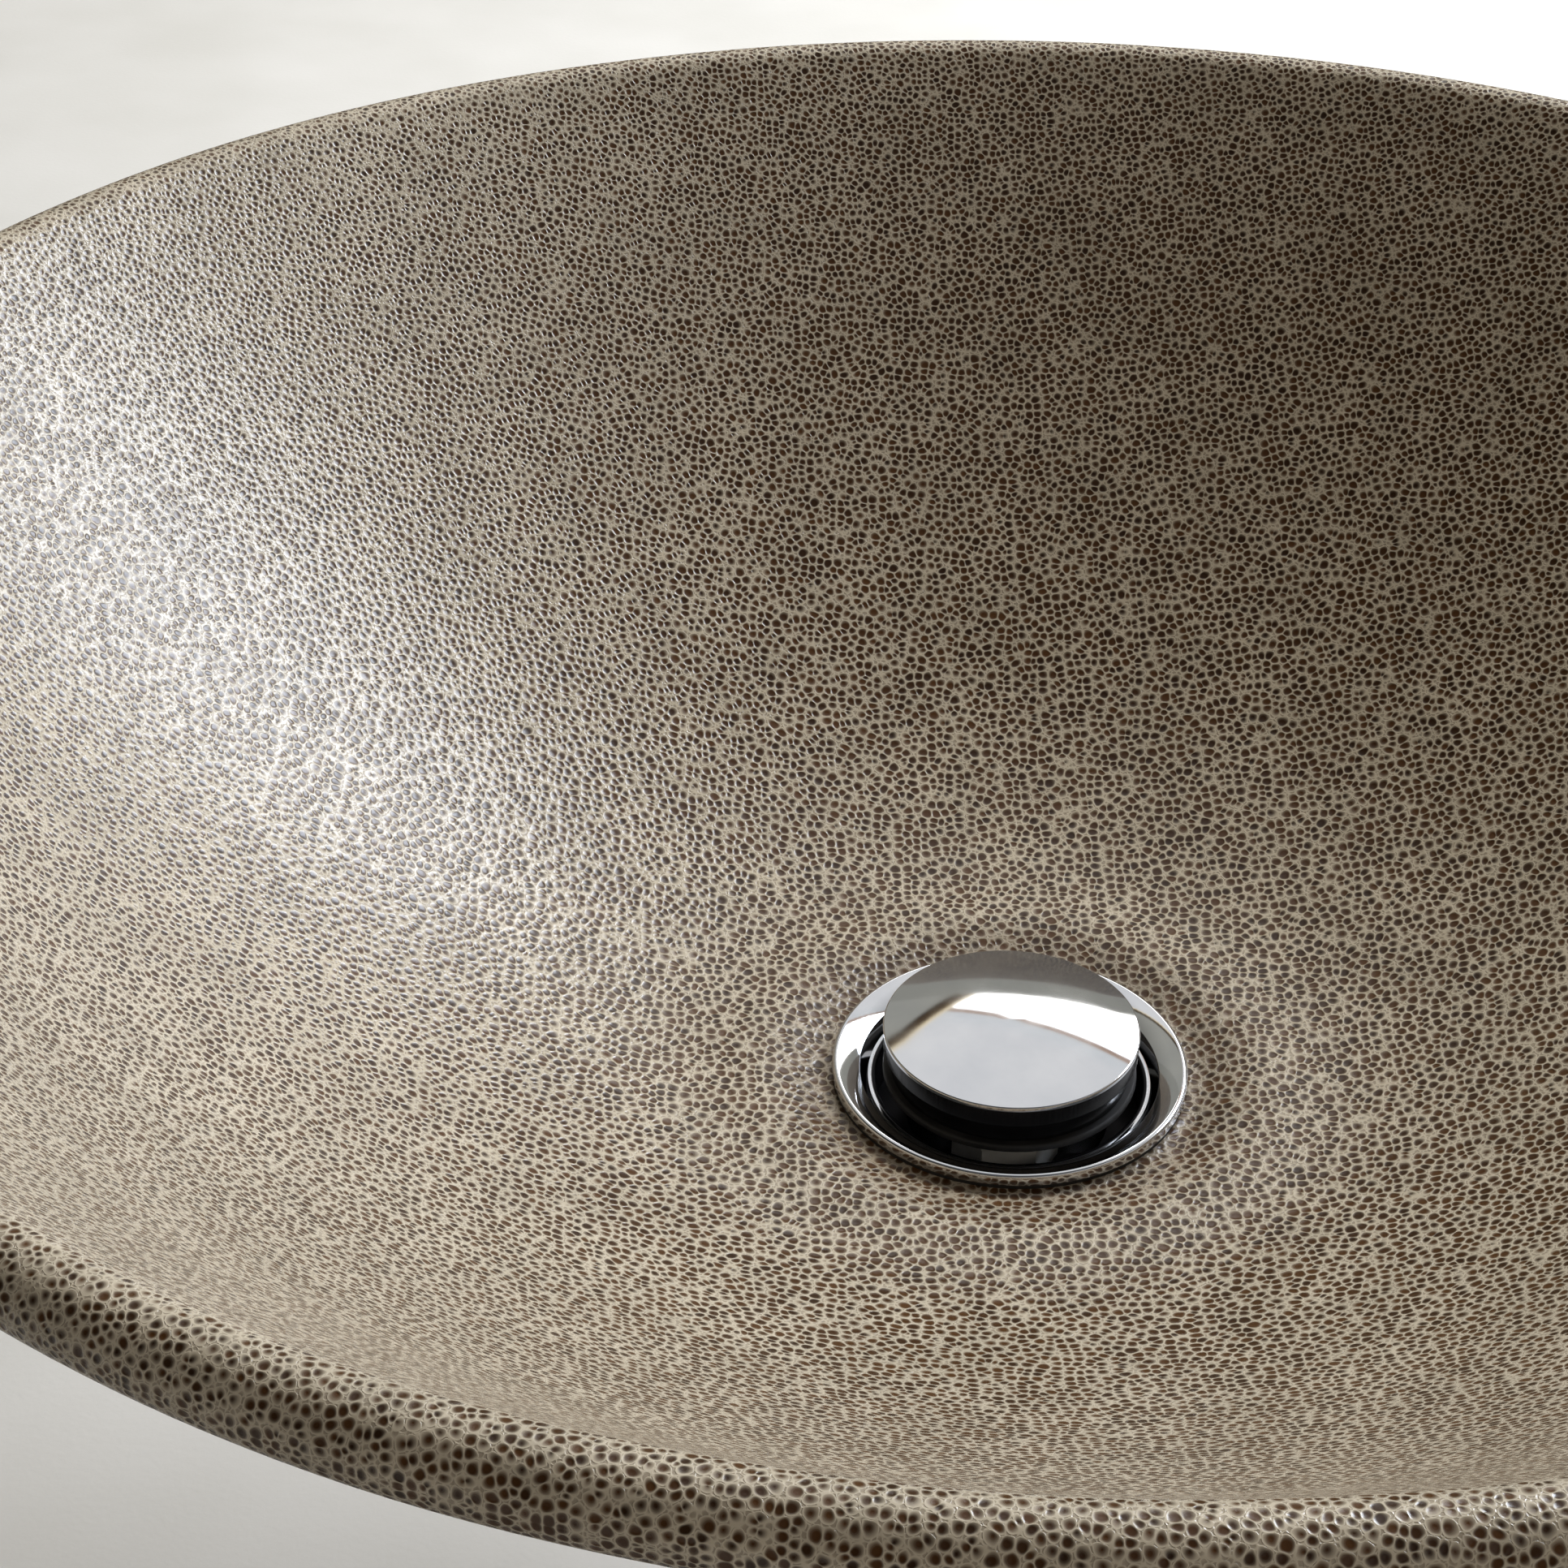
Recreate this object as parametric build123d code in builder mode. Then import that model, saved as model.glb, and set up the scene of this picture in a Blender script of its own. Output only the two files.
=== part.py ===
from build123d import *
from math import cos, radians, sin, sqrt, tan
import os

os.makedirs("parts", exist_ok=True)

# Driving dimensions in millimetres. The Z axis is the drain's axis and z = 0 is the
# counter top that the foot ring stands on.

# Basin, from the drain outwards: a flat seat, a lip that rises round it, a floor arc,
# a bowl arc, a shoulder arc and a straight side. Slopes are in degrees from level.
basin_radius = 220.0
wall = 11.0
flange_top = 29.0
seat_margin = 1.5
lip_hollow = 8.0
lip_slope = 14.0
lip_length = 4.0
lip_round = 40.0
floor_arc = 70.0
floor_slope = 17.0
bowl_arc = 165.0
bowl_slope = 33.0
shoulder_arc = 330.0
wall_slope = 47.0
base_lift = 13.0
foot_outer = 82.0
foot_width = 14.0
foot_round = 2.0
foot_blend = 4.0
hole_clearance = 0.5
hole_chamfer = 2.0

# Drain body: threaded tube, throat, step, polished dish and rim, each wider than the last,
# and the spider inside the tube
thread_radius = 20.95
thread_pitch = 2.309
thread_depth = 1.2
thread_crest = 0.1
tube_wall = 1.35
throat_step = 3.05
throat_wall = 1.6
ledge_width = 1.5
dish_run = 1.5
rim_width = 5.0
rim_thickness = 2.0
rim_flat = 3.8
crest_width = 1.0
crest_round = 0.6
dish_depth = 1.8
step_depth = 3.7
ledge_edge_round = 0.6
cup_shoulder = 0.4
cup_cone = 2.2
body_length = 62.0
spider_height = 8.0
spider_rib = 2.4
spider_ribs = 4
boss_radius = 9.5
flange_seal_thickness = 0.8
flange_seal_width = 3.4
flange_seal_inset = 0.1

# Parts under the basin
gasket_thickness = 3.0
gasket_overlap = 8.9
gasket_nose = 0.9
gasket_taper = 1.4
friction_thickness = 1.5
friction_inset = 2.0
nut_wall = 5.05
nut_height = 8.0
nut_corner_angle = 30.0
thread_clearance = 0.06
gasket_clearance = 0.3

# Tailpiece
tail_radius = 16.0
tail_wall = 1.2
tail_length = 73.0
collar_height = 4.0
sleeve_length = 8.0
sleeve_clearance = 0.1
tail_seal_thickness = 1.0
tail_seal_inset = 0.5
tail_end_chamfer = 0.4

# Stopper
stopper_travel = 9.5
closed_gap = 0.2
cap_gap = 1.0
cap_rise = 7.6
dome_rise = 1.65
cap_side = 0.8
cap_edge_round = 0.3
cap_boss_radius = 6.0
cap_boss_height = 2.7
plug_gap = 2.4
plug_height = 7.8
plug_clearance = 0.2
plug_edge = 0.4
collar_drop = 3.7
collar_inset = 0.1
collar_edge = 0.6
seal_gap = 1.1
seal_thickness = 1.5
seal_edge = 0.5
retainer_gap = 1.4
retainer_thickness = 1.5
stud_radius = 3.0
stud_pitch = 1.0
stud_thread_depth = 0.5
stud_clearance = 0.06
stud_cover = 0.95
stud_in_plunger = 10.0

# Click cartridge
head_across_flats = 17.0
head_height = 7.8
head_gap = 0.7
washer_thickness = 1.0
washer_radius = 9.2
shank_radius = 6.95
stem_radius = 4.5
piston_radius = 5.6
piston_length = 6.8
piston_gap = 0.2
running_clearance = 0.08
fin_count = 4
fin_width = 1.6
fin_reach = 0.6
guide_gap = 0.1
tooth_count = 8
tooth_height = 1.2
tooth_root = 3.4
tooth_share = 0.9
rotor_gap = 0.2
rotor_radius = 5.2
rotor_height = 4.6
o_ring_section = 0.8
o_ring_drop = 2.2
nut_height_small = 4.0
nut_across_flats_small = 19.0
end_plug_length = 2.0
end_flange = 2.0
end_spigot_radius = 3.3
end_spigot_length = 3.0
end_hole_radius = 1.2
spring_wire_radius = 0.45
spring_radius = 4.2
spring_turns = 7.0
spring_end_gap = 0.05
spring_rest_length = 19.8

# Heights that follow from the stack, all measured from the counter top
seat_z = flange_top - rim_thickness - flange_seal_thickness
body_end_z = flange_top - body_length
cap_top_z = flange_top + cap_rise
cap_bottom_z = cap_top_z - cap_side
plug_bottom_z = cap_bottom_z - plug_height
seal_bottom_z = plug_bottom_z - seal_thickness
plunger_top_z = seal_bottom_z - retainer_thickness
# The throat's floor and the cartridge's head lie just under the stopper when it is shut.
throat_floor_z = seal_bottom_z - stopper_travel - closed_gap
head_top_z = plunger_top_z - stopper_travel - head_gap
head_bottom_z = head_top_z - head_height
spider_top_z = head_bottom_z - washer_thickness
spider_bottom_z = spider_top_z - spider_height
piston_top_z = head_bottom_z - piston_gap
piston_bottom_z = piston_top_z - piston_length
rotor_top_z = piston_bottom_z - 2 * tooth_height - rotor_gap
rotor_bottom_z = rotor_top_z - rotor_height
shank_bottom_z = rotor_bottom_z - spring_rest_length - end_plug_length
shank_length = head_bottom_z - shank_bottom_z

# Radii that follow from the thread or from a fit
bore_radius = thread_radius - thread_depth - tube_wall
throat_radius = thread_radius + throat_step
throat_outer = throat_radius + throat_wall
step_radius = throat_radius + ledge_width
dish_radius = step_radius + dish_run
flange_radius = dish_radius + rim_width
drain_hole_radius = throat_outer + hole_clearance
gasket_radius = drain_hole_radius + gasket_overlap
nut_across_flats = 2 * (thread_radius + nut_wall)
cap_radius = throat_radius - cap_gap
plug_radius = throat_radius - plug_gap
plug_collar_radius = cap_radius - collar_inset
seal_radius = throat_radius - seal_gap
retainer_radius = bore_radius - retainer_gap
seat_radius = flange_radius + seat_margin
bead_radius = wall / 2
bore_clear_radius = stem_radius + running_clearance
barrel_radius = piston_radius + running_clearance


def thread_profile(major, depth, pitch, z_low, z_high):
    """Points of a V thread's outline, drawn as rings, from z_low up to z_high."""
    turns = int((z_high - z_low) / pitch)
    margin = (z_high - z_low - turns * pitch) / 2
    points = [(major, z_low)]
    for turn in range(turns):
        base = z_low + margin + turn * pitch
        points.append((major, base + thread_crest * pitch))
        points.append((major - depth, base + pitch / 2))
        points.append((major, base + pitch - thread_crest * pitch))
    points.append((major, z_high))
    return points


# The basin's side runs straight from the shoulder arc to the rounded rim.
lip_rise_run = lip_hollow * sin(radians(lip_slope)) + lip_length * cos(radians(lip_slope))
lip_end_radius = seat_radius + lip_rise_run + lip_round * sin(radians(lip_slope))
floor_end_radius = lip_end_radius + floor_arc * sin(radians(floor_slope))
bowl_run = bowl_arc * (sin(radians(bowl_slope)) - sin(radians(floor_slope)))
shoulder_run = shoulder_arc * (sin(radians(wall_slope)) - sin(radians(bowl_slope)))
shoulder_end_radius = floor_end_radius + bowl_run + shoulder_run
rim_inner_radius = basin_radius - bead_radius * (1 + sin(radians(wall_slope)))
side_length = (rim_inner_radius - shoulder_end_radius) / cos(radians(wall_slope))

with BuildPart() as basin:
    # The inside of the bowl, as one outline from the drain to the rim
    with BuildSketch(Plane.XZ, mode=Mode.PRIVATE) as bowl_void:
        with BuildLine():
            seat = Line((0, seat_z), (seat_radius, seat_z))
            hollow = JernArc(seat @ 1, seat % 1, lip_hollow, lip_slope)
            lip = Line(hollow @ 1, hollow @ 1 + hollow % 1 * lip_length)
            lip_top = JernArc(lip @ 1, lip % 1, lip_round, -lip_slope)
            floor = JernArc(lip_top @ 1, lip_top % 1, floor_arc, floor_slope)
            bowl = JernArc(floor @ 1, floor % 1, bowl_arc, bowl_slope - floor_slope)
            shoulder = JernArc(bowl @ 1, bowl % 1, shoulder_arc, wall_slope - bowl_slope)
            side = Line(shoulder @ 1, shoulder @ 1 + shoulder % 1 * side_length)
            rim_inner = side @ 1
            void_top = rim_inner.Y + basin_radius
            Polyline(rim_inner, (rim_inner.X, void_top), (0, void_top), (0, seat_z))
        make_face()
    # The outside runs parallel to it at the wall's thickness, from the rim down to the base
    outer_low = floor @ 1 + Vector(sin(radians(floor_slope)), -cos(radians(floor_slope))) * wall
    outer_arc = bowl_arc + wall
    outer_centre = Vector(
        outer_low.X - outer_arc * sin(radians(floor_slope)),
        outer_low.Y + outer_arc * cos(radians(floor_slope)),
    )
    foot_reach = foot_outer - outer_centre.X
    foot_top_z = outer_centre.Y - sqrt(outer_arc**2 - foot_reach**2) + bead_radius
    with BuildSketch(Plane.XZ):
        with BuildLine():
            Line((0, outer_low.Y), (outer_low.X, outer_low.Y))
            belly = JernArc(outer_low, floor % 1, outer_arc, bowl_slope - floor_slope)
            haunch = JernArc(
                belly @ 1, belly % 1, shoulder_arc + wall, wall_slope - bowl_slope
            )
            flank = Line(haunch @ 1, haunch @ 1 + haunch % 1 * side_length)
            rim = JernArc(flank @ 1, flank % 1, bead_radius, 180)
            Polyline(rim @ 1, (0, (rim @ 1).Y), (0, outer_low.Y))
        make_face()
        # Base disc and foot ring, drawn up into the wall above them
        with Locations((0, base_lift)):
            Rectangle(
                foot_outer - foot_width / 2,
                foot_top_z - base_lift,
                align=(Align.MIN, Align.MIN),
            )
        with Locations((foot_outer - foot_width, 0)):
            Rectangle(foot_width, foot_top_z, align=(Align.MIN, Align.MIN))
        add(bowl_void.sketch_local, mode=Mode.SUBTRACT)
        with BuildLine():
            Polyline(
                (0, base_lift),
                (drain_hole_radius, base_lift),
                (drain_hole_radius, seat_z - hole_chamfer),
                (drain_hole_radius + hole_chamfer, seat_z),
                (0, seat_z),
                close=True,
            )
        make_face(mode=Mode.SUBTRACT)
    revolve(axis=Axis.Z)
    foot_edges = basin.edges().filter_by(GeomType.CIRCLE).group_by(Axis.Z)[0]
    fillet(foot_edges, foot_round)
    foot_joint = (
        basin.edges()
        .filter_by(GeomType.CIRCLE)
        .filter_by(lambda edge: abs(edge.radius - foot_outer) < 0.01)
        .sort_by(Axis.Z)[-1]
    )
    fillet(foot_joint, foot_blend)
basin.part.label = "basin"

with BuildPart() as drain_body:
    with BuildSketch(Plane.XZ):
        with BuildLine():
            thread = thread_profile(
                thread_radius,
                thread_depth,
                thread_pitch,
                body_end_z,
                throat_floor_z - cup_shoulder - cup_cone,
            )
            Polyline(
                *thread,
                (throat_outer, throat_floor_z - cup_shoulder),
                (throat_outer, flange_top - step_depth - throat_wall),
                (flange_radius - rim_flat, flange_top - rim_thickness),
                (flange_radius, flange_top - rim_thickness),
                (flange_radius, flange_top),
                (flange_radius - crest_width, flange_top),
                (dish_radius, flange_top - dish_depth),
                (step_radius, flange_top - step_depth),
                (throat_radius, flange_top - step_depth),
                (throat_radius, throat_floor_z),
                (bore_radius, throat_floor_z),
                (bore_radius, body_end_z),
                close=True,
            )
        make_face()
    revolve(axis=Axis.Z)
    crest_edges = (
        drain_body.edges()
        .filter_by(GeomType.CIRCLE)
        .filter_by(lambda edge: abs(edge.center().Z - flange_top) < 0.01)
    )
    fillet(crest_edges.sort_by(SortBy.RADIUS)[-1], crest_round)
    rounded_steps = (
        drain_body.edges()
        .filter_by(GeomType.CIRCLE)
        .filter_by(
            lambda edge: edge.center().Z > flange_top - step_depth - 0.01
            and (
                abs(edge.radius - throat_radius) < 0.01
                or abs(edge.radius - dish_radius) < 0.01
            )
        )
    )
    fillet(rounded_steps, ledge_edge_round)
    # Spider: ribs from the tube's wall to the boss that holds the cartridge
    with BuildSketch(Plane.XY.offset(spider_bottom_z)):
        with PolarLocations(0, spider_ribs):
            Rectangle(
                bore_radius + throat_wall / 2,
                spider_rib,
                align=(Align.MIN, Align.CENTER),
            )
        Circle(boss_radius)
        Circle(shank_radius + thread_clearance, mode=Mode.SUBTRACT)
    extrude(amount=spider_height)
drain_body.part.label = "drain_body"

with BuildPart() as flange_seal:
    with BuildSketch(Plane.XY.offset(seat_z)):
        Circle(flange_radius - flange_seal_inset)
        Circle(flange_radius - flange_seal_inset - flange_seal_width, mode=Mode.SUBTRACT)
    extrude(amount=flange_seal_thickness)
flange_seal.part.label = "flange_seal"

with BuildPart() as basin_gasket:
    gasket_bore = thread_radius + thread_clearance
    with BuildSketch(Plane.XZ):
        with BuildLine():
            Polyline(
                (gasket_bore, base_lift - gasket_thickness),
                (gasket_radius, base_lift - gasket_thickness),
                (gasket_radius, base_lift),
                (drain_hole_radius - gasket_clearance, base_lift),
                (drain_hole_radius - gasket_taper, base_lift + gasket_nose),
                (gasket_bore + gasket_taper, base_lift + gasket_nose),
                (gasket_bore, base_lift - gasket_clearance),
                close=True,
            )
        make_face()
    revolve(axis=Axis.Z)
basin_gasket.part.label = "basin_gasket"

friction_z = base_lift - gasket_thickness - friction_thickness
with BuildPart() as friction_washer:
    with BuildSketch(Plane.XY.offset(friction_z)):
        Circle(gasket_radius - friction_inset)
        Circle(thread_radius + thread_clearance, mode=Mode.SUBTRACT)
    extrude(amount=friction_thickness)
friction_washer.part.label = "friction_washer"

lock_nut_z = friction_z - nut_height
nut_corner = nut_across_flats / sqrt(3)
nut_corner_drop = (nut_corner - nut_across_flats / 2) * tan(radians(nut_corner_angle))
with BuildPart() as lock_nut:
    with BuildSketch(Plane.XY.offset(lock_nut_z)):
        RegularPolygon(nut_across_flats / 2, 6, major_radius=False)
        Circle(thread_radius + thread_clearance, mode=Mode.SUBTRACT)
    extrude(amount=nut_height)
    # Both ends are turned down at the corners
    with BuildSketch(Plane.XZ):
        with BuildLine():
            Polyline(
                (0, lock_nut_z),
                (nut_across_flats / 2, lock_nut_z),
                (nut_corner, lock_nut_z + nut_corner_drop),
                (nut_corner, friction_z - nut_corner_drop),
                (nut_across_flats / 2, friction_z),
                (0, friction_z),
                close=True,
            )
        make_face()
    revolve(axis=Axis.Z, mode=Mode.INTERSECT)
lock_nut.part.label = "lock_nut"

tail_seal_z = body_end_z - tail_seal_thickness
collar_bottom_z = tail_seal_z - collar_height
tail_end_z = collar_bottom_z - tail_length
sleeve_radius = bore_radius - sleeve_clearance
tail_bore = tail_radius - tail_wall

with BuildPart() as tailpiece_seal:
    with BuildSketch(Plane.XY.offset(tail_seal_z)):
        Circle(thread_radius - tail_seal_inset)
        Circle(sleeve_radius + thread_clearance, mode=Mode.SUBTRACT)
    extrude(amount=tail_seal_thickness)
tailpiece_seal.part.label = "tailpiece_seal"

with BuildPart() as tailpiece:
    with BuildSketch(Plane.XZ):
        with BuildLine():
            Polyline(
                (tail_bore, tail_end_z),
                (tail_radius, tail_end_z),
                (tail_radius, collar_bottom_z),
                (thread_radius, collar_bottom_z),
                (thread_radius, tail_seal_z),
                (sleeve_radius, tail_seal_z),
                (sleeve_radius, body_end_z + sleeve_length),
                (tail_bore, body_end_z + sleeve_length),
                close=True,
            )
        make_face()
    revolve(axis=Axis.Z)
    chamfer(tailpiece.edges().group_by(Axis.Z)[0], tail_end_chamfer)
    collar_edges = tailpiece.edges().filter_by(
        lambda edge: edge.geom_type == GeomType.CIRCLE and abs(edge.radius - thread_radius) < 0.01
    )
    fillet(collar_edges, tail_end_chamfer)
tailpiece.part.label = "tailpiece"

# Stopper: everything that rises and sinks with the cap
dome_radius = (cap_radius**2 + dome_rise**2) / (2 * dome_rise)
cap_boss_z = cap_bottom_z - cap_boss_height
plug_collar_z = cap_bottom_z - collar_drop
stud_top_z = cap_top_z + dome_rise - stud_cover
stud_hole_radius = stud_radius + stud_clearance
with BuildPart() as stopper_cap:
    with BuildSketch(Plane.XZ):
        with BuildLine():
            dome = RadiusArc((0, cap_top_z + dome_rise), (cap_radius, cap_top_z), dome_radius)
            Polyline(
                dome @ 1,
                (cap_radius, cap_bottom_z),
                (cap_boss_radius, cap_bottom_z),
                (cap_boss_radius, cap_boss_z),
                (stud_hole_radius, cap_boss_z),
                (stud_hole_radius, stud_top_z + plug_clearance),
                (0, stud_top_z + plug_clearance),
                dome @ 0,
            )
        make_face()
    revolve(axis=Axis.Z)
    cap_edge = (
        stopper_cap.edges()
        .filter_by(GeomType.CIRCLE)
        .filter_by(lambda edge: abs(edge.radius - cap_radius) < 0.01)
        .sort_by(Axis.Z)[-1]
    )
    fillet(cap_edge, cap_edge_round)
stopper_cap.part.label = "stopper_cap"

with BuildPart() as stopper_plug:
    with BuildSketch(Plane.XZ):
        with BuildLine():
            Polyline(
                (stud_hole_radius, plug_bottom_z),
                (plug_radius, plug_bottom_z),
                (plug_radius, plug_collar_z),
                (plug_collar_radius, plug_collar_z),
                (plug_collar_radius, cap_bottom_z),
                (cap_boss_radius + plug_clearance, cap_bottom_z),
                (cap_boss_radius + plug_clearance, cap_boss_z - plug_clearance),
                (stud_hole_radius, cap_boss_z - plug_clearance),
                close=True,
            )
        make_face()
    revolve(axis=Axis.Z)
    plug_rim = (
        stopper_plug.edges()
        .filter_by(GeomType.CIRCLE)
        .filter_by(lambda edge: abs(edge.radius - plug_radius) < 0.01)
        .sort_by(Axis.Z)[0]
    )
    fillet(plug_rim, plug_edge)
    collar_rim = (
        stopper_plug.edges()
        .filter_by(GeomType.CIRCLE)
        .filter_by(lambda edge: abs(edge.radius - plug_collar_radius) < 0.01)
        .sort_by(Axis.Z)[0]
    )
    fillet(collar_rim, collar_edge)
stopper_plug.part.label = "stopper_plug"

with BuildPart() as stopper_seal:
    with BuildSketch(Plane.XY.offset(seal_bottom_z)):
        Circle(seal_radius)
        Circle(stud_hole_radius, mode=Mode.SUBTRACT)
    extrude(amount=seal_thickness)
    seal_rim = stopper_seal.edges().filter_by(
        lambda edge: edge.geom_type == GeomType.CIRCLE and abs(edge.radius - seal_radius) < 0.01
    )
    fillet(seal_rim, seal_edge)
stopper_seal.part.label = "stopper_seal"

with BuildPart() as seal_retainer:
    with BuildSketch(Plane.XY.offset(plunger_top_z)):
        Circle(retainer_radius)
        Circle(stud_hole_radius, mode=Mode.SUBTRACT)
    extrude(amount=retainer_thickness)
    retainer_rim = seal_retainer.edges().group_by(Axis.Z)[0].sort_by(SortBy.RADIUS)[-1]
    chamfer(retainer_rim, retainer_thickness / 2)
seal_retainer.part.label = "seal_retainer"

stud_bottom_z = plunger_top_z - stud_in_plunger
with BuildPart() as stopper_stud:
    with BuildSketch(Plane.XZ):
        with BuildLine():
            Polyline(
                (0, stud_bottom_z),
                *thread_profile(
                    stud_radius, stud_thread_depth, stud_pitch, stud_bottom_z, stud_top_z
                ),
                (0, stud_top_z),
                close=True,
            )
        make_face()
    revolve(axis=Axis.Z)
stopper_stud.part.label = "stopper_stud"

# Plunger: a stem with a finned piston, and a crown of teeth that turns the cam
tooth_half_width = tooth_share * tooth_root * sin(radians(180 / tooth_count))
with BuildPart() as crown_tooth:
    with BuildSketch(Plane.YZ.offset(tooth_root)):
        with BuildLine():
            Polyline(
                (-tooth_half_width, 0),
                (tooth_half_width, 0),
                (tooth_half_width, tooth_height),
                close=True,
            )
        make_face()
    extrude(amount=rotor_radius - tooth_root)

with BuildPart() as plunger:
    with BuildSketch(Plane.XY.offset(piston_bottom_z)):
        Circle(piston_radius)
        with PolarLocations(0, fin_count):
            Rectangle(
                piston_radius + fin_reach - guide_gap,
                fin_width - 2 * guide_gap,
                align=(Align.MIN, Align.CENTER),
            )
    extrude(amount=piston_length)
    with BuildSketch(Plane.XY.offset(piston_top_z)):
        Circle(stem_radius)
    extrude(amount=plunger_top_z - piston_top_z)
    with BuildSketch(Plane.XY.offset(plunger_top_z)):
        Circle(stud_hole_radius)
    extrude(amount=-stud_in_plunger - stud_clearance, mode=Mode.SUBTRACT)
    with Locations(Location((0, 0, piston_bottom_z), (180, 0, 0))):
        with PolarLocations(0, tooth_count):
            add(crown_tooth.part)
plunger.part.label = "plunger"

with BuildPart() as cam_rotor:
    with BuildSketch(Plane.XY.offset(rotor_bottom_z)):
        Circle(rotor_radius)
    extrude(amount=rotor_height)
    with Locations((0, 0, rotor_top_z)):
        with PolarLocations(0, tooth_count):
            add(crown_tooth.part)
cam_rotor.part.label = "cam_rotor"

# Cartridge barrel: hexagon head above the spider, threaded shank through its boss
o_ring_top_z = head_top_z - o_ring_drop
groove_height = 2 * o_ring_section + 2 * guide_gap
groove_radius = stem_radius + 2 * o_ring_section + 2 * running_clearance
with BuildPart() as cartridge_housing:
    with BuildSketch(Plane.XY.offset(head_bottom_z)):
        RegularPolygon(head_across_flats / 2, 6, major_radius=False)
    extrude(amount=head_height)
    with BuildSketch(Plane.XY.offset(shank_bottom_z)):
        Circle(shank_radius)
    extrude(amount=shank_length)
    with BuildSketch(Plane.XZ):
        with BuildLine():
            Polyline(
                (0, shank_bottom_z),
                (barrel_radius, shank_bottom_z),
                (barrel_radius, head_bottom_z),
                (bore_clear_radius, head_bottom_z),
                (bore_clear_radius, o_ring_top_z - groove_height),
                (groove_radius, o_ring_top_z - groove_height),
                (groove_radius, o_ring_top_z),
                (bore_clear_radius, o_ring_top_z),
                (bore_clear_radius, head_top_z),
                (0, head_top_z),
                close=True,
            )
        make_face()
    revolve(axis=Axis.Z, mode=Mode.SUBTRACT)
    # Guide slots for the plunger's fins
    with BuildSketch(Plane.XY.offset(shank_bottom_z)):
        with PolarLocations(0, fin_count):
            Rectangle(
                piston_radius + fin_reach,
                fin_width,
                align=(Align.MIN, Align.CENTER),
            )
    extrude(amount=shank_length, mode=Mode.SUBTRACT)
cartridge_housing.part.label = "cartridge_housing"

with BuildPart() as stem_ring:
    with BuildSketch(Plane.XZ):
        with Locations(
            (stem_radius + running_clearance + o_ring_section, o_ring_top_z - groove_height / 2)
        ):
            Circle(o_ring_section)
    revolve(axis=Axis.Z)
stem_ring.part.label = "stem_ring"

with BuildPart() as housing_washer:
    with BuildSketch(Plane.XY.offset(spider_top_z)):
        Circle(washer_radius)
        Circle(shank_radius + thread_clearance, mode=Mode.SUBTRACT)
    extrude(amount=washer_thickness)
housing_washer.part.label = "housing_washer"

with BuildPart() as cartridge_nut:
    with BuildSketch(Plane.XY.offset(spider_bottom_z)):
        RegularPolygon(nut_across_flats_small / 2, 6, major_radius=False)
        Circle(shank_radius + thread_clearance, mode=Mode.SUBTRACT)
    extrude(amount=-nut_height_small)
cartridge_nut.part.label = "cartridge_nut"

spigot_top_z = shank_bottom_z + end_plug_length + end_spigot_length
with BuildPart() as cartridge_end_cap:
    with BuildSketch(Plane.XZ):
        with BuildLine():
            Polyline(
                (end_hole_radius, shank_bottom_z - end_flange),
                (shank_radius, shank_bottom_z - end_flange),
                (shank_radius, shank_bottom_z),
                (piston_radius, shank_bottom_z),
                (piston_radius, shank_bottom_z + end_plug_length),
                (end_spigot_radius, shank_bottom_z + end_plug_length),
                (end_spigot_radius, spigot_top_z),
                (end_hole_radius, spigot_top_z),
                close=True,
            )
        make_face()
    revolve(axis=Axis.Z)
cartridge_end_cap.part.label = "cartridge_end_cap"

# Spring: one wire wound round the end cap's spigot, up to the cam
spring_low_z = shank_bottom_z + end_plug_length + spring_wire_radius + spring_end_gap
spring_high_z = rotor_bottom_z - spring_wire_radius - spring_end_gap
spring_height = spring_high_z - spring_low_z
with BuildPart() as cartridge_spring:
    with BuildLine():
        coil = Helix(
            spring_height / spring_turns,
            spring_height,
            spring_radius,
            center=(0, 0, spring_low_z),
        )
    with BuildSketch(Plane(origin=coil @ 0, z_dir=coil % 0)):
        Circle(spring_wire_radius)
    sweep(is_frenet=True)
cartridge_spring.part.label = "cartridge_spring"

pieces = [
    basin,
    drain_body,
    flange_seal,
    basin_gasket,
    friction_washer,
    lock_nut,
    tailpiece_seal,
    tailpiece,
    stopper_cap,
    stopper_plug,
    stopper_seal,
    seal_retainer,
    stopper_stud,
    plunger,
    cam_rotor,
    cartridge_housing,
    stem_ring,
    housing_washer,
    cartridge_nut,
    cartridge_end_cap,
    cartridge_spring,
]
for piece in pieces:
    export_step(piece.part, f"parts/{piece.part.label}.step")
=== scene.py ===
from math import ceil, cos, exp, hypot, pi, radians, sin

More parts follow.
